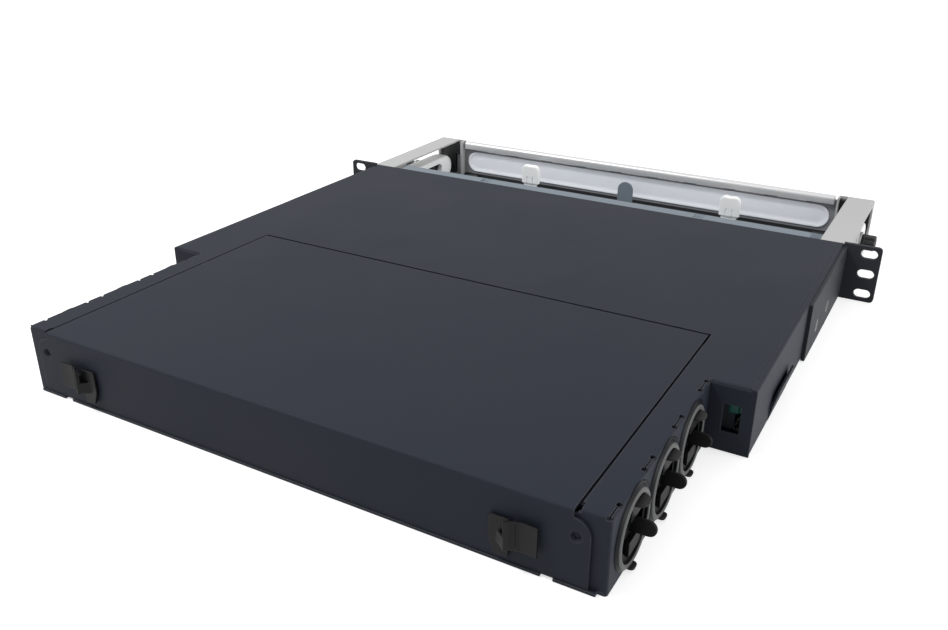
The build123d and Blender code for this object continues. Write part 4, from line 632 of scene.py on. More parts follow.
def latch_shell(sizes, node):
    """A base plate with one long chamfer, a leg that climbs from it, and a thin shell whose height over the flap
    falls as a square from the crown to the valley and rises as a flatter one to the free edge, with three narrow
    bell-shaped ribs on the fall; behind the flap lie the neck, keeper and bolt."""
    low, high, (_, _, middle_z) = span(node)
    face = high[1] - sizes.proud
    start, stop = sizes.x - sizes.length / 2, sizes.x + sizes.length / 2
    foot, top, nick = low[2] + 0.0003, high[2] - 0.0004, 0.001
    base_end = start + sizes.base_length
    outline = np.array([(base_end, foot), (base_end, top), (start + nick, top), (start, top - nick),
                        (start, top - sizes.chamfer_start), (start + sizes.chamfer, foot)])
    shell = stacked(lambda inset: shrunk(outline, inset), soft_edges(sizes.base, 0.0003), "Y").moved(0, face, 0)
    crown, valley, peak = start + sizes.crown, start + sizes.valley, sizes.proud - HAIR
    x = np.linspace(crown, stop, 150)
    height = face + sizes.dip + np.where(x < valley,
                                         (peak - sizes.dip) * ((valley - x) / (valley - crown)) ** 2,
                                         sizes.tail * ((x - valley) / (stop - valley)) ** 2)
    for step in range(3):
        off_rib = (x - crown - sizes.rib_start - step * sizes.rib_pitch) / sizes.rib
        room = np.clip((face + sizes.proud - height) / sizes.rib, 0, 1)
        height = height + sizes.rib * np.exp(-off_rib ** 2) * room
    foot_of_leg, head_of_leg = (start + sizes.leg, face + sizes.base), (crown + 0.0003, face + peak)
    leg = np.linspace(foot_of_leg, head_of_leg, 12)
    bottom, edge = middle_z + sizes.shell_low, sizes.strip * SHEET_EDGE
    for line, upper in ((np.stack([x, height], axis=-1), sizes.shell_high), (leg, sizes.leg_high)):
        shell += curved_strip(line[::-1], sizes.strip, bottom, middle_z + upper, edge)
    keep = face - sizes.flap_gap - sizes.flap
    bolt_back = keep - sizes.keeper + sizes.play
    for first, last, back, front, half, radius in (
            (sizes.x - 0.006, sizes.x + 0.002, keep - sizes.play, face + 0.0008, sizes.neck, 0.0003),
            (start + nick, sizes.x + 0.011, keep - sizes.keeper, keep, sizes.keeper_high, 0.0004),
            (sizes.x + 0.004, high[0], low[1], bolt_back, sizes.bolt, 0.0004)):
        shell += brick((first, back, middle_z - half), (last, front, middle_z + half), radius)
    return shell


def shrunk(outline, inset):
    """A convex outline drawn in towards its middle by the inset, and by nearly a third more to allow for its
    corners."""
    middle = outline.mean(0)
    reach = np.linalg.norm(outline - middle, axis=1)[:, None]
    return middle + (outline - middle) * (1 - inset * 1.3 / reach)


def side_guide_shell(sizes, node):
    """A soft collar: its section is a rounded oblong whose corners are quarter circles of the roundness, with a
    narrow seam inside the first of them, carried round between an outer rounded rectangle and the oval eye."""
    low, high, _ = span(node)
    high[2] -= sizes.lower
    inner_x, outer_x = faces_x(node)
    inner_x -= sizes.swell
    centre = (low + high) / 2
    length, height = high[1] - low[1], high[2] - low[2]
    outer = rounded(length, height, sizes.corner)
    eye = rounded(sizes.eye_length, sizes.eye_height, sizes.eye_height / 2)
    eye = eye + np.array([0.0, sizes.eye_z - centre[2]])
    radial = outer - eye
    radial = radial / np.linalg.norm(radial, axis=1)[:, None]
    depth = outer_x - inner_x
    front, back, small = sizes.roundness, sizes.back_roundness, sizes.eye_roundness

    def corner(radius, start, flip=1):
        """Pairs of inset and depth round a quarter circle that starts on the flat, from a face at start."""
        sink, rise = bend(90, 0, GUIDE_STEPS)
        return [(radius * (1 - sink[k]), start + flip * radius * (1 - rise[k])) for k in range(GUIDE_STEPS + 1)]

    outward = [(front + inset, sunk) for inset, sunk in ((0.0012, 0.0), (0.0010, sizes.seam), (0.0005, sizes.seam),
                                                         (0.0003, 0.0))]
    outward += corner(front, 0.0) + corner(back, depth, -1)[::-1]
    inward = corner(small, depth, -1) + corner(small, 0.0)[::-1]
    rings = [placed(outer - radial * inset, inner_x + along, "X") for inset, along in outward]
    rings += [placed(eye + radial * inset, inner_x + along, "X") for inset, along in inward]
    return carried(np.stack(rings), loop=True).moved(0, centre[1], centre[2])


def guide_core_shell(sizes, node):
    """An oval boss: the eye's outline less a play, dished in front by a rim's width, with a round boss behind."""
    low, high, middle = span(node)
    inner_x, outer_x = faces_x(node)
    inner_x -= sizes.swell
    length, height = high[1] - low[1], high[2] - low[2]
    body_end = outer_x - sizes.boss
    bed, rim, edge = inner_x + sizes.dish, sizes.rim, 0.0006
    centre = height / 2 - 0.0002
    steps = [(centre, bed), (rim + edge, bed), (rim, bed - edge), (rim, inner_x + edge), (rim - edge * 0.6, inner_x),
             (edge, inner_x), (edge * 0.3, inner_x + edge * 0.3), (0, inner_x + edge), (0, body_end - edge),
             (edge * 0.3, body_end - edge * 0.3), (edge, body_end), (centre, body_end)]
    oval = stacked(lambda inset: rounded(length, height, height / 2, inset), steps, "X")
    boss_radius = height / 2 - sizes.boss
    boss = lathed([(boss_radius, body_end - 0.001), (boss_radius, outer_x - 0.0002),
                   (boss_radius - 0.0002, outer_x)])
    head, bevel = 0.0022, 0.0018
    screw = lathed([(head, bed - 0.0002), (head, bed - 0.0009), (bevel, bed - 0.0013)], count=32)
    return (oval + boss + screw).moved(0, middle[1], middle[2])


def knob_shell(sizes, node):
    """A knob whose outline is a circle less a flute depth times the sixth power of the cosine of half the flute
    angle, so that the flutes are narrow and the lands round; its collar keeps the plain circle."""
    low, high, middle = span(node)
    start_x, tip = faces_x(node)
    head = tip - sizes.head
    fluted = head + sizes.collar
    radius = (high[1] - low[1]) / 2
    angle = around(KNOB_ROUND)
    flute = np.cos(angle * sizes.flutes / 2) ** 6
    steps = [(0.0002, head, 0.0), (0.0, head + 0.0004, 0.0), (0.0, fluted, 0.0), (0.0001, fluted + 0.0001, 1.0),
             (0.0001, tip - 0.0014, 1.0), (0.0003, tip - 0.0007, 1.0), (0.0007, tip - 0.0002, 0.95),
             (0.0013, tip, 0.7), (0.0026, tip, 0.0), (0.0031, tip - 0.0002, 0.0), (0.0034, tip - 0.0008, 0.0),
             (0.0036, tip - 0.0014, 0.0), (radius - 0.0008, tip - 0.0015, 0.0)]
    rings = [placed(polar(radius - inset - share * sizes.flute_depth * flute, angle), along, "X")
             for inset, along, share in steps]
    stem = lathed([(sizes.stem - 0.0003, start_x), (sizes.stem, start_x + 0.0003), (sizes.stem, head + 0.001)],
                  count=40)
    return (carried(np.stack(rings)) + stem).moved(0, middle[1], middle[2])


def finger_cap_shell(sizes, x, low, high):
    """A soft cap, drawn as a flattened tube: at height h the half width is the outline's, the half thickness
    closes at the crown as a quarter circle, and each ring is a superellipse of fifth power. The crown dips at its
    middle as a bell curve, two grooves are pressed into its back below the groove height, and a narrower collar
    hugs the tab under it."""
    height = high[2] - low[2]
    half_width, half_thick = sizes.cap_width / 2, (high[1] - low[1]) / 2
    foot_share, power = 0.05, 5
    crown = 1 - 0.28 * np.cos(np.linspace(0, pi / 2, 14)) ** 1.5
    levels = np.unique(np.concatenate([[0, 0.02, foot_share], np.linspace(0.08, 0.72, 24), crown]))
    risen = height * levels
    corner, closing = sizes.cap_corner, half_thick * 0.8
    drop = np.clip(risen - (height - corner), 0, corner)
    width = half_width - corner + np.sqrt(np.clip(corner ** 2 - drop ** 2, 0, None))
    close = np.clip((risen - (height - closing)) / closing, 0, 1)
    thick = half_thick * np.sqrt(np.clip(1 - close ** 2, 0.0004, None))
    drawn_in = 1 - 0.35 * np.clip(1 - levels / foot_share, 0, 1) ** 2
    outline = polar(1.0, around(CAP_ROUND))
    outline = np.sign(outline) * np.abs(outline) ** (2 / power)
    across = (width * drawn_in)[:, None] * outline[None, :, 0]
    deep = (thick * drawn_in)[:, None] * outline[None, :, 1]
    groove = np.exp(-((np.abs(across) - sizes.groove_pitch / 2) / (sizes.groove_width / 2)) ** 4)
    below = np.clip((sizes.groove_height - risen) / sizes.groove_fade, 0, 1)[:, None]
    deep = deep - (deep > 0) * groove * below * sizes.groove_depth
    dip = sizes.cap_dip * np.exp(-(across / sizes.dip_width) ** 2) * (levels[:, None] ** 8)
    middle, half_foot = (low[1] + high[1]) / 2, sizes.foot_width / 2
    rings = np.stack([x + across, middle + deep, low[2] + risen[:, None] - dip], axis=-1)
    foot = brick((x - half_foot, middle - 0.0011, low[2] - sizes.foot_drop),
                 (x + half_foot, middle + 0.0013, low[2] + 0.0004), 0.0002)
    return carried(rings) + foot


def door_rail_shell(sizes, node):
    """A bar along X: its section is a rectangle with two big upper corners and two small lower ones, and its ends
    are rounded by shrinking the section."""
    low, high, middle = span(node)
    size = high - low
    big, small = sizes.rail_round, 0.0006
    bar = plate(size[1], size[2], (big, big, small, small), size[0], 0.0005, "X")
    return bar.moved(low[0], middle[1], middle[2])


def door_window_shell(sizes, node):
    """A long oval lens: its plug fills the leaf's window, and a wider rim with soft edges lies on the inside."""
    low, high, middle = span(node)
    size, front, back = high - low, low[1], high[1]
    rim = sizes.lens_rim / 2 + HAIR
    step = back - sizes.lens_thick
    edge = 0.0003
    steps = [(rim + 0.003, front), (rim + edge, front), (rim, front + edge), (rim, step), (edge, step),
             (0, step + edge), (0, back - edge), (edge, back), (rim + 0.0012, back), (rim + 0.0016, back - edge),
             (rim + 0.005, back - edge)]
    lens = stacked(lambda inset: rounded(size[0], size[2], size[2] / 2, inset), steps, "Y")
    return lens.moved(0, 0, middle[2])


def screw_shell(sizes, x_face, y, z):
    """A countersunk screw: a cone down to its shank, with a cross of four small ramps sunk into its flat head."""
    head, shank, long, cone = sizes.screw_head, sizes.screw_shank, sizes.screw_length, sizes.screw_cone
    angle = around(SCREW_ROUND)
    cross = np.clip(1 - (np.abs(np.sin(2 * angle)) / 0.42) ** 4, 0, 1)
    outside = [(HAIR, -long), (shank, -long), (shank, -cone), (head, -HAIR), (head - HAIR, 0.0)]
    rings = [placed(polar(radius, angle), along, "X") for radius, along in outside]
    rings += [placed(polar(head * share, angle), -sunk * sizes.screw_recess * cross, "X")
              for share, sunk in ((0.62, 0.0), (0.5, 0.5), (0.3, 0.9), (0.12, 1.0))]
    return carried(np.stack(rings)).moved(x_face, y, z)


def spool_shell(sizes, x, y, low_z, high_z, radius):
    """A drum: foot flange, waist with small fillets, top flange and a cup. The top flange is cut back to the drum
    wherever the sine of the angle is near one, which leaves its two notches."""
    flange, bowl = radius + sizes.spool_flange, radius - sizes.spool_wall
    height, edge = high_z - low_z, 0.0004
    sheet, floor = sizes.spool_plate, sizes.spool_wall
    under = height - sheet
    angle = around(SPOOL_ROUND)
    notch = np.abs(np.cos(angle)) * flange < sizes.spool_notch / 2
    profile = [(HAIR, 0, 0), (flange - edge, 0, 0), (flange, edge, 0), (flange, sheet - edge, 0),
               (flange - edge, sheet, 0), (radius + 0.0016, sheet, 0), (radius + 0.0005, sheet + 0.0005, 0),
               (radius, sheet + 0.0016, 0), (radius, under - 0.0012, 0), (radius + 0.0004, under - 0.0004, 0),
               (radius + 0.0012, under, 1), (flange - edge, under, 1), (flange, under + edge, 1),
               (flange, height - edge, 1), (flange - edge, height, 1), (bowl + edge, height, 0),
               (bowl, height - edge, 0), (bowl, floor + 0.001, 0), (bowl - 0.001, floor, 0), (HAIR, floor, 0)]
    rings = []
    for out, along, flanged in profile:
        cut_back = np.where(notch & bool(flanged), min(out, radius + 0.0003), out)
        rings.append(placed(polar(cut_back, angle), along, "Z"))
    return carried(np.stack(rings)).moved(x, y, low_z)


def lever_shell(sizes, node):
    """The release lever: a bar with rounded edges and a taller flag with one big corner at its end."""
    low, high, middle = span(node)
    inner_x, outer_x = faces_x(node)
    end, edge = high[1], 0.0005
    bar = brick((outer_x - sizes.lever_thick, low[1], low[2]),
                (outer_x, end - 0.001, low[2] + sizes.lever_height), edge)
    flag = plate(sizes.flag_length, high[2] - low[2], (sizes.flag_corner, 0.0008, edge, edge), sizes.flag_width,
                 edge, "X")
    shell = bar + flag.moved(inner_x, end - sizes.flag_length / 2, middle[2])
    first = low[2] + sizes.lever_height / 2 + 0.0035
    for step in range(3):
        z = first + sizes.grip_pitch * step
        shell += brick((inner_x + 0.0006, end - 0.0006, z),
                       (inner_x + sizes.flag_width - 0.0006, end, z + 0.0007), 0.0002)
    return shell


def dust_plug_shell(sizes, x, z, face):
    """Four plugs on one strip: rounded bricks with a waist, each closed by a soft front."""
    across, up = sizes.plug_strip_length / 2, sizes.plug_strip_height / 2
    shell = brick((x - across, face - sizes.plug_strip, z - up), (x + across, face, z + up), 0.0003)
    round_edge, waist = 0.0009, 0.0005
    steps = [(round_edge, 0.0), (0.0004, 0.0001), (0.0, 0.0006), (0.0, 0.0012), (waist, 0.0018),
             (waist, sizes.plug_length)]
    plug = stacked(lambda inset: rounded(sizes.plug_width, sizes.plug_height, round_edge, inset), steps, "Y")
    for step in (-1.5, -0.5, 0.5, 1.5):
        shell += plug.moved(x + step * sizes.port_pitch, face - sizes.plug_length, z)
    return shell


# Sizes and colours that a user would change


def length(name, description, default):
    """A length in metres."""
    return FloatProperty(name=name, description=description, default=default, precision=5, subtype="DISTANCE",
                         unit="LENGTH")


def colour(name, description, default):
    """A linear colour."""
    return FloatVectorProperty(name=name, description=description, default=default, size=3, min=0, max=1,
                               subtype="COLOR")


def factor(name, description, default):
    """A share between zero and one."""
    return FloatProperty(name=name, description=description, default=default, min=0, max=1, subtype="FACTOR")


def turn(name, description, degrees):
    """An angle, given in degrees and kept in radians."""
    return FloatProperty(name=name, description=description, default=radians(degrees), subtype="ANGLE",
                         unit="ROTATION")


def power(name, description, default):
    """A lamp's power in watts."""
    return FloatProperty(name=name, description=description, default=default, subtype="POWER", unit="POWER")


def spot(name, description, default):
    """A place in the frame."""
    return FloatVectorProperty(name=name, description=description, default=default, size=3, subtype="XYZ_LENGTH",
                               unit="LENGTH")


class CaseLook(bpy.types.PropertyGroup):
    """Paint of the case, the ears and the rear lid, and the ears' screws."""

    paint: colour("Case paint", "Dark blue-grey powder coat of the case and lid", (0.0145, 0.0180, 0.0265))
    ear_paint: colour("Ear paint", "Powder coat of the rack ears", (0.024, 0.0255, 0.031))
    roughness: factor("Paint roughness", "Roughness of the powder coat", 0.58)
    grain: length("Paint grain", "Size of the powder coat's pebbles", 0.0009)
    # Painted highlight along the case paint's folds and cut edges.
    fold_highlight: factor("Fold brightness", "How much the paint lightens along folds and cut edges", 0.6)
    screw_colour: colour("Screw colour", "Blackened steel of the ear screws", (0.02, 0.02, 0.022))
    screw_head: length("Screw head radius", "Radius of the countersunk head", 0.0046)
    screw_shank: length("Screw shank radius", "Radius of the shank", 0.002)
    screw_length: length("Screw length", "From the head's face to the shank's end", 0.0039)
    screw_cone: length("Screw cone", "Depth of the countersunk cone", 0.0027)
    screw_recess: length("Screw recess depth", "Depth of the cross in the head", 0.0011)


class GlandSizes(bpy.types.PropertyGroup):
    """Rings in the tail's walls and the blanks in them."""

    # Painted highlight on the ring's lip.
    lip_highlight: colour("Ring colour", "Lip of the black moulded ring, where it shines", (0.105, 0.106, 0.108))
    # Painted shade on the ring's sloping flange and bore.
    dark: colour("Flange colour", "Ring's sloping flange and bore, out of the light", (0.0085, 0.009, 0.0105))
    plug_colour: colour("Plug colour", "Black moulded blank", (0.0042, 0.0042, 0.0044))
    # Painted highlight on the flat tongues' lit tops.
    tongue_highlight: colour("Flat tongue colour", "Thin tongues of the blank", (0.017, 0.0172, 0.0175))
    neck: length("Neck radius", "Radius of the ring where it passes the wall", 0.0164)
    tube_wall: length("Tube wall", "Thickness of the tube inside the wall", 0.0012)
    bore: length("Bore radius", "Radius of the opening in the flange", 0.0168)
    lip: length("Lip radius", "Outer radius of the lip on the flange", 0.0194)
    rim: length("Rim radius", "Outer radius of the flange", 0.0209)
    cup: length("Cup radius", "Radius of the blank's cup", 0.0149)
    cup_floor: length("Cup floor", "Thickness of the cup's floor", 0.0018)
    shift_back: length("Flange shift", "How far the flange lies behind its neck's middle", 0.0026)
    shift_down: length("Flange drop", "How far the flange lies under its neck's middle", 0.0004)
    lip_proud: length("Lip height", "How far the lip stands off the wall", 0.0024)
    wall: length("Case wall", "Sheet that the ring is snapped through", 0.0015)
    snap: length("Snap edge", "How far the inner edge reaches over the sheet", 0.0014)
    depth: length("Depth", "From the wall's outside to the inner end", 0.0041)
    web_proud: length("Web height", "How far the web's edge stands off the wall", 0.0014)
    tongue_reach: length("Tongue reach", "How far the middle tongue stands off the wall", 0.0114)
    tongue_short: length("Short tongues", "How much shorter the upper and lower tongues are", 0.0045)
    tongue_width: length("Tongue width", "Width of the middle tongue", 0.0084)
    flat_width: length("Flat tongue width", "Width of the upper tongue", 0.011)
    flat_thick: length("Flat tongue thickness", "Thickness of the flat tongues", 0.0014)
    web: length("Web width", "Width of the upright web", 0.015)
    low_offset: length("Lower tongue offset", "Depth of the lower tongue under the middle", 0.0189)
    low_back: length("Lower tongue shift", "How far the lower tongue lies behind the middle", 0.0056)
    low_start: length("Lower tongue root", "Where the lower tongue begins off the wall", 0.0008)
    low_reach: length("Lower tongue reach", "How far the lower tongue stands off the wall", 0.0047)
    low_width: length("Lower tongue width", "Width of the lower tongue", 0.0062)
    tongue_thick: length("Tongue thickness", "Thickness of the middle tongue", 0.0022)
    tongue_offset: length("Tongue offset", "Height of the upper tongue over the middle", 0.0138)
    notch: length("Web notch", "Size of the notches beside the middle tongue", 0.0015)


class LatchSizes(bpy.types.PropertyGroup):
    """The two slide latches on the lid's flap."""

    shell_colour: colour("Latch colour", "Black moulded latch", (0.0062, 0.0062, 0.0062))
    x: length("Latch place", "Distance of the latch's middle from the drawer's", 0.1436)
    length: length("Latch length", "Length of base and shell", 0.0256)
    proud: length("Crown height", "How far the crown stands off the flap", 0.0062)
    base: length("Base thickness", "Thickness of the base plate", 0.0014)
    base_length: length("Base length", "Length of the base plate", 0.0104)
    chamfer_start: length("Chamfer start", "Depth of the base's chamfer under its top", 0.0134)
    chamfer: length("Chamfer width", "Width of the base's chamfer at its foot", 0.0032)
    strip: length("Shell thickness", "Thickness of the shell", 0.0012)
    leg: length("Foot of the leg", "Where the leg leaves the base, from its inner end", 0.0042)
    leg_high: length("Top of the leg", "Height of the leg's upper edge over the middle", 0.0032)
    crown: length("Crown place", "Where the shell is highest, from the inner end", 0.0101)
    valley: length("Valley place", "Where the shell is lowest, from the inner end", 0.0169)
    dip: length("Valley height", "How far the valley stands off the flap", 0.0027)
    tail: length("Tail rise", "How far the free edge rises over the valley", 0.0005)
    shell_low: length("Shell foot", "Lower edge of the shell over the middle", -0.0038)
    shell_high: length("Shell top", "Upper edge of the shell over the middle", 0.0122)
    rib: length("Rib size", "Half width and height of a rib", 0.00066)
    rib_start: length("First rib", "Distance of the first rib from the crown", 0.0013)
    rib_pitch: length("Rib pitch", "Distance between two ribs", 0.0021)
    flap_gap: length("Flap gap", "Play between the base and the flap", 0.0003)
    flap: length("Flap sheet", "Thickness of the lid's flap and its paint", 0.0018)
    play: length("Overlap", "How far neck and bolt reach into the keeper", 0.0003)
    keeper: length("Keeper thickness", "Thickness of the keeper behind the flap", 0.0025)
    keeper_high: length("Keeper height", "Half the height of the keeper", 0.008)
    neck: length("Neck height", "Half the height of the neck through the flap", 0.005)
    bolt: length("Bolt height", "Half the height of the bolt", 0.003)


class GuideSizes(bpy.types.PropertyGroup):
    """Side guides, their cores, their knobs and the finger caps."""

    white: colour("White plastic", "Moulded white of guides and caps", (0.86, 0.865, 0.855))
    dark: colour("Dark plastic", "Moulded black of cores and knobs", (0.016, 0.0165, 0.018))
    corner: length("Guide corner", "Radius of the guide's outline", 0.012)
    roundness: length("Guide roundness", "Radius of the guide's inner rim", 0.0046)
    back_roundness: length("Guide back", "Radius of the guide's rim beside the bracket", 0.0068)
    eye_roundness: length("Eye roundness", "Radius of the eye's edges", 0.0008)
    swell: length("Guide swell", "How much further in the guide's face lies than its node's", 0.004)
    lower: length("Guide top", "How far the guide's top lies under its node's", 0.0048)
    seam: length("Guide seam", "Depth of the seam round the guide's face", 0.0006)
    eye_length: length("Eye length", "Length of the oval eye", 0.037)
    eye_height: length("Eye height", "Height of the oval eye", 0.0118)
    eye_z: length("Eye level", "Height of the eye's middle in the frame", -0.0038)
    rim: length("Core rim", "Width of the core's rim", 0.003)
    dish: length("Core dish", "Depth of the core's dish", 0.003)
    boss: length("Core boss", "Length of the boss behind the core", 0.0023)
    head: length("Knob length", "Length of the knob's head", 0.0108)
    collar: length("Knob collar", "Length of the plain collar", 0.0022)
    stem: length("Knob stem", "Radius of the knob's stem", 0.0025)
    flute_depth: length("Flute depth", "Depth of the knob's flutes", 0.0013)
    flutes: IntProperty(name="Flutes", description="Number of flutes round the knob", default=8, min=4, max=24)
    cap_width: length("Cap width", "Width of a finger cap", 0.0185)
    cap_corner: length("Cap corner", "Radius of the cap's upper corners", 0.006)
    groove_pitch: length("Groove pitch", "Distance between the cap's grooves", 0.0064)
    groove_width: length("Groove width", "Width of a groove", 0.0009)
    groove_depth: length("Groove depth", "Depth of a groove", 0.0007)
    groove_height: length("Groove height", "Height of the grooves", 0.0075)
    groove_fade: length("Groove fade", "Height over which a groove runs out", 0.0006)
    cap_dip: length("Cap dip", "How far the crown's middle lies under its shoulders", 0.0008)
    dip_width: length("Dip width", "Half width of the crown's dip", 0.002405)
    foot_width: length("Collar width", "Width of the cap's collar on the tab", 0.014)
    foot_drop: length("Collar drop", "How far the collar reaches below the cap", 0.0027)


class TroughLook(bpy.types.PropertyGroup):
    """Painted sheet of the trough and the drawer."""

    silver: colour("Bracket paint", "Silver-grey paint of the trough's brackets", (0.415, 0.415, 0.415))
    floor: colour("Drawer paint", "Blue-grey paint of tray, trough floor and front rail", (0.165, 0.195, 0.225))
    bare: colour("Bars", "Paint of the lashing bars", (0.16, 0.18, 0.21))
    roughness: factor("Paint roughness", "Roughness of both paints", 0.48)
    grain: length("Paint grain", "Size of the paint's pebbles", 0.0007)
    # Painted highlight along the trough paint's folds and cut edges.
    fold_highlight: factor("Fold brightness", "How much the paint lightens along folds and cut edges", 0.3)


class DoorSizes(bpy.types.PropertyGroup):
    """The fold-down door."""

    leaf: colour("Leaf colour", "Grey of the door's leaf", (0.235, 0.24, 0.25))
    # Painted shade: a black band along the leaf's foot stands for the shadowed gap under the door.
    strip: colour("Strip colour", "Black shadow along the leaf's foot", (0.012, 0.012, 0.014))
    shade_band_level: length("Strip level", "Height of the shadow's upper edge in the frame", -0.0135)
    lens: colour("Lens colour", "Frosted strip of the window", (0.92, 0.94, 0.99))
    rail: colour("Rail colour", "Satin aluminium of the top rail", (0.58, 0.58, 0.585))
    clear: factor("Lens clearness", "How much of the light passes through the strip", 0.1)
    rail_round: length("Rail rounding", "Radius of the rail's upper edges", 0.003)
    lens_rim: length("Lens rim", "How much wider the rim is than the window", 0.0012)
    lens_thick: length("Lens rim thickness", "Thickness of the rim on the inside", 0.001)


class DrawerLook(bpy.types.PropertyGroup):
    """Slides, levers, cassettes and spools."""

    zinc: colour("Slide steel", "Zinc-plated steel of the slides", (0.60, 0.61, 0.62))
    ball: colour("Ball steel", "Polished steel of balls and pins", (0.72, 0.72, 0.73))
    lever: colour("Lever colour", "Green moulded release lever", (0.0, 0.13, 0.095))
    cassette: colour("Cassette colour", "Dark plastic of the cassettes", (0.03, 0.031, 0.035))
    adapter: colour("Adapter colour", "Aqua plastic of the adapters", (0.015, 0.30, 0.42))
    plug: colour("Plug colour", "Plastic of the dust plugs", (0.70, 0.70, 0.68))
    black: colour("Black plastic", "Plastic of spools and rear adapters", (0.014, 0.0145, 0.016))
    lever_thick: length("Lever thickness", "Thickness of the lever's bar", 0.003)
    lever_height: length("Lever height", "Height of the lever's bar", 0.0044)
    flag_length: length("Flag length", "Length of the lever's flag", 0.0095)
    flag_width: length("Flag width", "Width of the lever's flag", 0.0056)
    flag_corner: length("Flag corner", "Radius of the flag's big corner", 0.003)
    grip_pitch: length("Grip pitch", "Distance between the ridges on the flag's end", 0.0016)
    spool_flange: length("Spool flange", "How far a spool's flanges reach", 0.006)
    spool_plate: length("Spool flange thickness", "Thickness of a spool's flanges", 0.0015)
    spool_wall: length("Spool wall", "Wall of the spool's drum", 0.003)
    spool_notch: length("Spool notch", "Width of the notches in the top flange", 0.01)
    plug_strip: length("Plug strip", "Thickness of the strip that joins four plugs", 0.0008)
    plug_strip_length: length("Plug strip length", "Length of the strip", 0.0242)
    plug_strip_height: length("Plug strip height", "Height of the strip", 0.0072)
    plug_side: length("Outer plugs", "Middle of an outer strip from the adapters' end", 0.0145)
    plug_row: length("Plug rows", "Middle of a strip from the adapters' upper or lower edge", 0.0053)
    plug_length: length("Plug length", "How far a dust plug stands out", 0.004)
    plug_width: length("Plug width", "Width of a dust plug", 0.0042)
    plug_height: length("Plug height", "Height of a dust plug", 0.0056)
    port_pitch: length("Port pitch", "Distance between two ports", 0.00625)


class StageSizes(bpy.types.PropertyGroup):
    """Camera, lamps and floor."""

    lens: FloatProperty(name="Lens", description="Camera's focal length", default=35.0, subtype="DISTANCE_CAMERA")
    sensor: FloatProperty(name="Sensor", description="Sensor's width", default=36.0, subtype="DISTANCE_CAMERA")
    azimuth: turn("Azimuth", "Camera's direction round the object from the front", 209.484)
    elevation: turn("Elevation", "Camera's height angle", 24.847)
    roll: turn("Roll", "Camera's turn about its view", 0.347)
    place: spot("Camera place", "Where the camera stands", (-0.2927, 0.7034, 0.2617))
    aim: spot("Lamp aim", "Where every lamp points", (0.0, 0.1, 0.0))
    overhead: power("Overhead lamp", "Power of the wide lamp above", 4.0)
    overhead_place: spot("Overhead place", "Where the wide lamp hangs", (0.15, -0.1, 1.9))
    overhead_size: length("Overhead width", "Side of the wide lamp's square", 2.4)
    side: power("Side lamp", "Power of the lamp on the left of the drawer", 22.0)
    side_place: spot("Side place", "Where the side lamp stands", (-1.9, 0.1, 0.35))
    side_size: length("Side width", "Side of the side lamp's square", 1.1)
    key: power("Key lamp", "Power of the small lamp behind the drawer's right side", 24.0)
    key_place: spot("Key place", "Where the key lamp hangs", (0.95, 0.85, 1.6))
    key_size: length("Key width", "Side of the key lamp's square", 0.5)
    ambient: factor("Room light", "Strength of the room's light", 0.66)
    floor_shade: factor("Floor shade", "Paleness of the floor in reflected light", 0.42)
    floor_seen: factor("Floor in view", "Paleness and glow of the floor as the camera sees it", 0.62)
    floor_reach: length("Floor reach", "Distance from the middle to the floor's edge", 6.0)
    floor_drop: length("Floor gap", "Gap between the lowest edge and the floor", 0.0001)


GROUPS = {
    "drawer_case": CaseLook, "drawer_glands": GlandSizes, "drawer_latches": LatchSizes, "drawer_guides": GuideSizes,
    "drawer_trough": TroughLook, "drawer_door": DoorSizes, "drawer_parts": DrawerLook, "drawer_stage": StageSizes,
}


# Operators


class DRAWER_OT_case(bpy.types.Operator):
    """Paint the case, the rack ears and the rear lid"""

    bl_idname = "drawer.case"
    bl_label = "Case, ears and lid"

    def execute(self, context):
        look = context.scene.drawer_case
        for name, colour_of, nodes in (("case paint", look.paint, ["chassis_tub", "top_cover", "rear_cover"]),
                                       ("ear paint", look.ear_paint, ["rack_ear_left", "rack_ear_right"])):
            dress(nodes, powder_coat(name, colour_of, look.roughness, look.grain, look.fold_highlight))
        return {"FINISHED"}


class DRAWER_OT_ear_screws(bpy.types.Operator):
    """Make the countersunk screws in the rack ears"""

    bl_idname = "drawer.ear_screws"
    bl_label = "Ear screws"

    def execute(self, context):
        look = context.scene.drawer_case
        low, high, middle = span("ear_screws")
        steel = moulded("blackened steel", look.screw_colour, roughness=0.35)
        near, far = (screw_shell(look, high[0], y, middle[2])
                     for y in (low[1] + look.screw_head, high[1] - look.screw_head))
        pair = near + far
        piece("screws_of_the_ears", pair + pair.mirrored(), steel, "chassis", "ear_screws")
        return {"FINISHED"}


class DRAWER_OT_gland_rings(bpy.types.Operator):
    """Make the six cable gland rings"""

    bl_idname = "drawer.gland_rings"
    bl_label = "Gland rings"

    def execute(self, context):
        sizes = context.scene.drawer_glands
        # The ring's tone paints shade on its flange, a highlight on its lip and a patch of light in its bore.
        black = moulded("gland ring plastic", sizes.dark, roughness=0.42, gloss=0.1, pale=sizes.lip_highlight)
        rings = [gland_ring_shell(sizes, f"gland_ring_right_{row}") for row in ROWS]
        for side in SIDES:
            for row, (ring, tone) in zip(ROWS, rings):
                piece(f"ring_{side}_{row}", ring.side(side), black, "chassis",
                      f"gland_ring_{side}_{row}", tone)
        return {"FINISHED"}


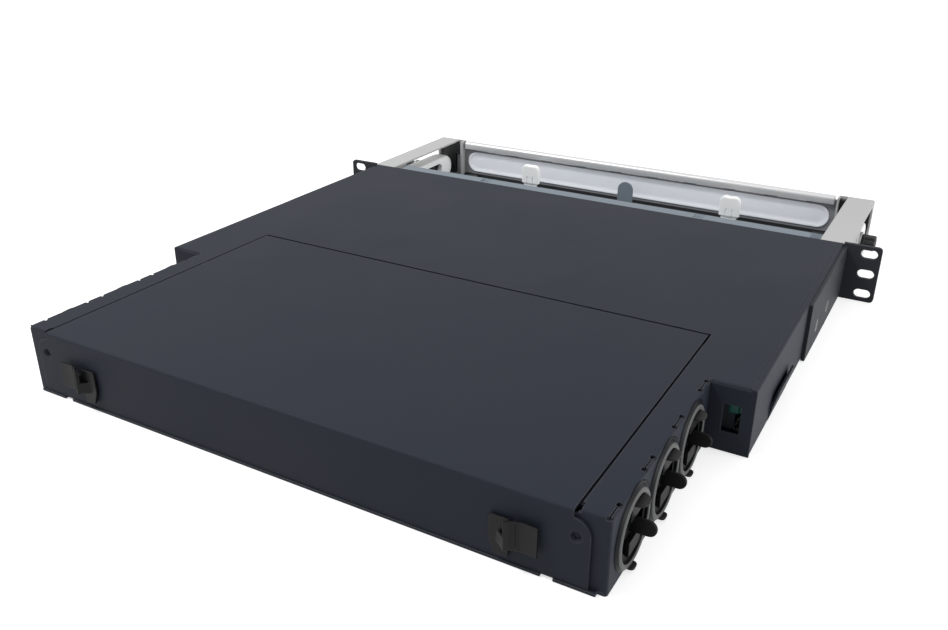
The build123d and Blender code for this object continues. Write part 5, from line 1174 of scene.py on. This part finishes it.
class DRAWER_OT_gland_plugs(bpy.types.Operator):
    """Make the six gland blanks with their tongues"""

    bl_idname = "drawer.gland_plugs"
    bl_label = "Gland blanks"

    def execute(self, context):
        sizes = context.scene.drawer_glands
        # The flat tongues' lighter colour is a painted highlight on their lit tops.
        black = moulded("gland blank plastic", sizes.plug_colour, roughness=0.5, gloss=0.12, pale=sizes.tongue_highlight)
        plug, tone = gland_plug_shell(sizes)
        plugs = []
        for row in ROWS:
            _, high, middle = span(f"gland_ring_right_{row}")
            plugs.append(plug.moved(high[0] - sizes.lip_proud, middle[1], middle[2]))
        whole = gathered(plugs)
        piece("blanks_of_the_glands", whole + whole.mirrored(), black, "chassis", "gland_plugs",
              np.tile(tone, 2 * len(ROWS)))
        return {"FINISHED"}


class DRAWER_OT_latches(bpy.types.Operator):
    """Make the two slide latches of the lid"""

    bl_idname = "drawer.latches"
    bl_label = "Lid latches"

    def execute(self, context):
        sizes = context.scene.drawer_latches
        black = moulded("latch plastic", sizes.shell_colour, roughness=0.45, gloss=0.16)
        both_sides("latch_*_grip", latch_shell(sizes, "cover_latch_right"), black, "latch_*",
                   "cover_latch_*")
        return {"FINISHED"}


class DRAWER_OT_slides(bpy.types.Operator):
    """Finish the slides, their balls, rivets and pins"""

    bl_idname = "drawer.slides"
    bl_label = "Telescopic slides"

    def execute(self, context):
        look = context.scene.drawer_parts
        dress([f"slide_{member}_{side}" for member in ("outer", "middle", "inner") for side in SIDES],
              plated("zinc plating", look.zinc, roughness=0.36))
        dress([f"ball_cages_{side}" for side in SIDES] + ["slide_rivets", "lever_pivots", "hinge_pins"],
              plated("polished steel", look.ball, roughness=0.18, along=(1.0, 1.0, 1.0)))
        return {"FINISHED"}


class DRAWER_OT_levers(bpy.types.Operator):
    """Make the green release levers"""

    bl_idname = "drawer.levers"
    bl_label = "Release levers"

    def execute(self, context):
        look = context.scene.drawer_parts
        both_sides("lever_*_bar", lever_shell(look, "release_lever_right"),
                   moulded("green lever plastic", look.lever, roughness=0.35), "lever_*",
                   "release_lever_*")
        return {"FINISHED"}


class DRAWER_OT_tray(bpy.types.Operator):
    """Paint the tray, the trough floor, the rails and the lashing bars"""

    bl_idname = "drawer.tray"
    bl_label = "Tray and trough sheet"

    def execute(self, context):
        look = context.scene.drawer_trough
        for name, colour_of, nodes in (
                ("drawer paint", look.floor, ["drawer_tray", "trough_floor", "module_guides", "front_rail"]),
                ("bracket paint", look.silver, [f"trough_bracket_{side}" for side in SIDES]),
                ("bar paint", look.bare, ["tie_bars"])):
            dress(nodes, powder_coat(name, colour_of, look.roughness, look.grain, look.fold_highlight))
        return {"FINISHED"}


class DRAWER_OT_cassettes(bpy.types.Operator):
    """Finish the fibre cassettes and their adapters"""

    bl_idname = "drawer.cassettes"
    bl_label = "Cassettes and adapters"

    def execute(self, context):
        look = context.scene.drawer_parts
        dress([f"module_body_{i}" for i in CASSETTES] + ["module_lids"],
              moulded("cassette plastic", look.cassette, roughness=0.5))
        dress([f"adapters_{i}" for i in CASSETTES], moulded("adapter plastic", look.adapter, roughness=0.36))
        dress(["mpo_adapters", "catch_blocks"], moulded("black plastic", look.black, roughness=0.45))
        return {"FINISHED"}


class DRAWER_OT_dust_plugs(bpy.types.Operator):
    """Make the strips of dust plugs in the adapters"""

    bl_idname = "drawer.dust_plugs"
    bl_label = "Dust plugs"

    def execute(self, context):
        look = context.scene.drawer_parts
        strips = []
        for i in CASSETTES:
            low, high, _ = span(f"adapters_{i}")
            strips += [dust_plug_shell(look, x, z, low[1])
                       for x in np.linspace(low[0] + look.plug_side, high[0] - look.plug_side, 3)
                       for z in (low[2] + look.plug_row, high[2] - look.plug_row)]
        piece("plugs_of_the_adapters", gathered(strips), moulded("dust plug plastic", look.plug, roughness=0.5),
              "drawer", "dust_plugs")
        return {"FINISHED"}


class DRAWER_OT_spools(bpy.types.Operator):
    """Make the slack spools of the tray and of the rear compartment"""

    bl_idname = "drawer.spools"
    bl_label = "Slack spools"

    def execute(self, context):
        look = context.scene.drawer_parts
        black = moulded("spool plastic", look.black, roughness=0.45)
        for node, body, name in (("slack_spools", "drawer", "spools_of_the_tray"),
                                 ("rear_spools", "chassis", "spools_of_the_tail")):
            low, high, middle = span(node)
            outer = (high[1] - low[1]) / 2
            spool = spool_shell(look, high[0] - outer, middle[1], low[2], high[2], outer - look.spool_flange)
            piece(name, spool + spool.mirrored(), black, body, node)
        return {"FINISHED"}


class DRAWER_OT_guides(bpy.types.Operator):
    """Make the white side guides of the trough"""

    bl_idname = "drawer.guides"
    bl_label = "Side guides"

    def execute(self, context):
        sizes = context.scene.drawer_guides
        both_sides("guide_*_collar", side_guide_shell(sizes, "radius_guide_right"),
                   moulded("white plastic", sizes.white, roughness=0.38), "drawer", "radius_guide_*")
        return {"FINISHED"}


class DRAWER_OT_guide_cores(bpy.types.Operator):
    """Make the dark oval cores of the side guides"""

    bl_idname = "drawer.guide_cores"
    bl_label = "Guide cores"

    def execute(self, context):
        sizes = context.scene.drawer_guides
        both_sides("core_*", guide_core_shell(sizes, "guide_core_right"),
                   moulded("core plastic", sizes.dark, roughness=0.42), "drawer", "guide_core_*")
        return {"FINISHED"}


class DRAWER_OT_knobs(bpy.types.Operator):
    """Make the fluted knobs outside the brackets"""

    bl_idname = "drawer.knobs"
    bl_label = "Guide knobs"

    def execute(self, context):
        sizes = context.scene.drawer_guides
        both_sides("knob_*_head", knob_shell(sizes, "guide_knob_right"),
                   moulded("knob plastic", sizes.dark, roughness=0.4), "knob_*", "guide_knob_*")
        return {"FINISHED"}


class DRAWER_OT_finger_caps(bpy.types.Operator):
    """Make the white caps on the trough's tabs"""

    bl_idname = "drawer.finger_caps"
    bl_label = "Finger caps"

    def execute(self, context):
        sizes = context.scene.drawer_guides
        low, high, _ = span("finger_caps")
        cap = finger_cap_shell(sizes, high[0] - sizes.cap_width / 2, low, high)
        piece("caps_of_the_tabs", cap + cap.mirrored(), moulded("cap plastic", sizes.white, roughness=0.42),
              "drawer", "finger_caps")
        return {"FINISHED"}


class DRAWER_OT_door_leaf(bpy.types.Operator):
    """Finish the door's leaf"""

    bl_idname = "drawer.door_leaf"
    bl_label = "Door leaf"

    def execute(self, context):
        look = context.scene.drawer_door
        # The leaf gets a black band of painted shade along its foot.
        dress(["door_panel"], leaf_with_shade_band("door leaf plastic", look.leaf, look.strip, look.shade_band_level, roughness=0.45))
        return {"FINISHED"}


class DRAWER_OT_door_window(bpy.types.Operator):
    """Make the frosted strip of the door"""

    bl_idname = "drawer.door_window"
    bl_label = "Door window"

    def execute(self, context):
        sizes = context.scene.drawer_door
        lens = frosted("frosted strip", sizes.lens, roughness=0.5, clear=sizes.clear)
        piece("window_strip", door_window_shell(sizes, "door_window"), lens, "door", "door_window")
        return {"FINISHED"}


class DRAWER_OT_door_rail(bpy.types.Operator):
    """Make the rounded rail on the door's top edge"""

    bl_idname = "drawer.door_rail"
    bl_label = "Door rail"

    def execute(self, context):
        sizes = context.scene.drawer_door
        satin = anodised("satin aluminium", sizes.rail, roughness=0.32)
        piece("rail_bar", door_rail_shell(sizes, "door_rail"), satin, "door", "door_rail")
        return {"FINISHED"}


class DRAWER_OT_stage(bpy.types.Operator):
    """Set up the floor, the lamps, the room light and the camera"""

    bl_idname = "drawer.stage"
    bl_label = "Stage"

    def execute(self, context):
        sizes = context.scene.drawer_stage
        scene = context.scene
        scene.view_settings.view_transform = "Standard"
        lay_floor(sizes)
        hang_lamps(sizes)
        light_room(scene, sizes)
        stand_camera(scene, sizes)
        return {"FINISHED"}


def lay_floor(sizes):
    """A wide square just under the lowest edge. Its material is pale for the camera and in reflections, and
    greyer for bounced light."""
    level, reach = CAD_BOX[0][2] - sizes.floor_drop, sizes.floor_reach
    mesh = bpy.data.meshes.new("floor")
    mesh.from_pydata([(-reach, -reach, level), (reach, -reach, level), (reach, reach, level), (-reach, reach, level)],
                     [], [(0, 1, 2, 3)])
    floor = bpy.data.objects.new("floor", mesh)
    bpy.context.scene.collection.objects.link(floor)
    shade, pale = (sizes.floor_shade,) * 3, (sizes.floor_seen,) * 3
    finish = Finish("floor", shade, 0.9, Specular_IOR_Level=0.0)
    seen = finish.seen("Camera", "Glossy")
    finish.set("Base Color", finish.mix(seen, shade, pale))
    finish.set("Emission Color", finish.mix(seen, (0.0, 0.0, 0.0), pale))
    finish.set("Emission Strength", 1.0)
    mesh.materials.append(finish.material)


def hang_lamps(sizes):
    """A wide square lamp above, one low on the drawer's left and a smaller one behind its right side."""
    for name in ("overhead", "side", "key"):
        lamp = bpy.data.lights.new(f"{name}_lamp", "AREA")
        lamp.energy, lamp.size = getattr(sizes, name), getattr(sizes, f"{name}_size")
        holder = bpy.data.objects.new(f"{name}_lamp", lamp)
        bpy.context.scene.collection.objects.link(holder)
        holder.location = getattr(sizes, f"{name}_place")
        view = Vector(sizes.aim) - Vector(holder.location)
        holder.rotation_euler = view.to_track_quat("-Z", "Y").to_euler()


def light_room(scene, sizes):
    """White to the camera, in reflections and through clear plastic, and an even grey light on everything else."""
    room = bpy.data.worlds.new("room")
    room.use_nodes = True
    scene.world = room
    nodes = Nodes(room.node_tree)
    light = room.node_tree.nodes["Background"].inputs
    nodes.put(light["Color"], (1, 1, 1, 1))
    nodes.put(light["Strength"], nodes.seen("Camera", "Glossy", "Transmission") * (1 - sizes.ambient) + sizes.ambient)


def stand_camera(scene, sizes):
    """The photo's camera: its axes from azimuth and elevation, then turned by the roll."""
    a, e, r = sizes.azimuth, sizes.elevation, sizes.roll
    back = Vector((sin(a) * cos(e), -cos(a) * cos(e), sin(e)))
    right = Vector((cos(a), sin(a), 0.0)).normalized()
    up = back.cross(right)
    right, up = right * cos(r) + up * sin(r), up * cos(r) - right * sin(r)
    data = bpy.data.cameras.new("photo_camera")
    data.lens = sizes.lens
    data.sensor_width = sizes.sensor
    data.clip_start = 0.01
    camera = bpy.data.objects.new("photo_camera", data)
    scene.collection.objects.link(camera)
    camera.matrix_world = Matrix((
        (right[0], up[0], back[0], sizes.place[0]),
        (right[1], up[1], back[1], sizes.place[1]),
        (right[2], up[2], back[2], sizes.place[2]),
        (0, 0, 0, 1)))
    scene.camera = camera


OPERATORS = (
    DRAWER_OT_case, DRAWER_OT_ear_screws, DRAWER_OT_gland_rings, DRAWER_OT_gland_plugs, DRAWER_OT_latches,
    DRAWER_OT_slides, DRAWER_OT_levers, DRAWER_OT_tray, DRAWER_OT_cassettes, DRAWER_OT_dust_plugs,
    DRAWER_OT_spools, DRAWER_OT_guides, DRAWER_OT_guide_cores, DRAWER_OT_knobs, DRAWER_OT_finger_caps,
    DRAWER_OT_door_leaf, DRAWER_OT_door_window, DRAWER_OT_door_rail, DRAWER_OT_stage,
)


class DRAWER_PT_pieces(bpy.types.Panel):
    """Buttons that build each group of pieces"""

    bl_idname = "DRAWER_PT_pieces"
    bl_label = "Patch drawer"
    bl_space_type = "VIEW_3D"
    bl_region_type = "UI"
    bl_category = "Patch drawer"

    def draw(self, context):
        for operator in OPERATORS:
            self.layout.operator(operator.bl_idname)


def register():
    """Adds the property groups, the operators and the panel."""
    for name, group in GROUPS.items():
        bpy.utils.register_class(group)
        setattr(bpy.types.Scene, name, PointerProperty(type=group))
    for part in (*OPERATORS, DRAWER_PT_pieces):
        bpy.utils.register_class(part)


def unregister():
    """Takes away what register added, last first."""
    for part in reversed((*OPERATORS, DRAWER_PT_pieces)):
        bpy.utils.unregister_class(part)
    for name, group in reversed(GROUPS.items()):
        delattr(bpy.types.Scene, name)
        bpy.utils.unregister_class(group)


def main():
    """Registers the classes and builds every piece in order."""
    register()
    for operator in OPERATORS:
        group, name = operator.bl_idname.split(".")
        getattr(getattr(bpy.ops, group), name)()


if __name__ == "__main__":
    main()
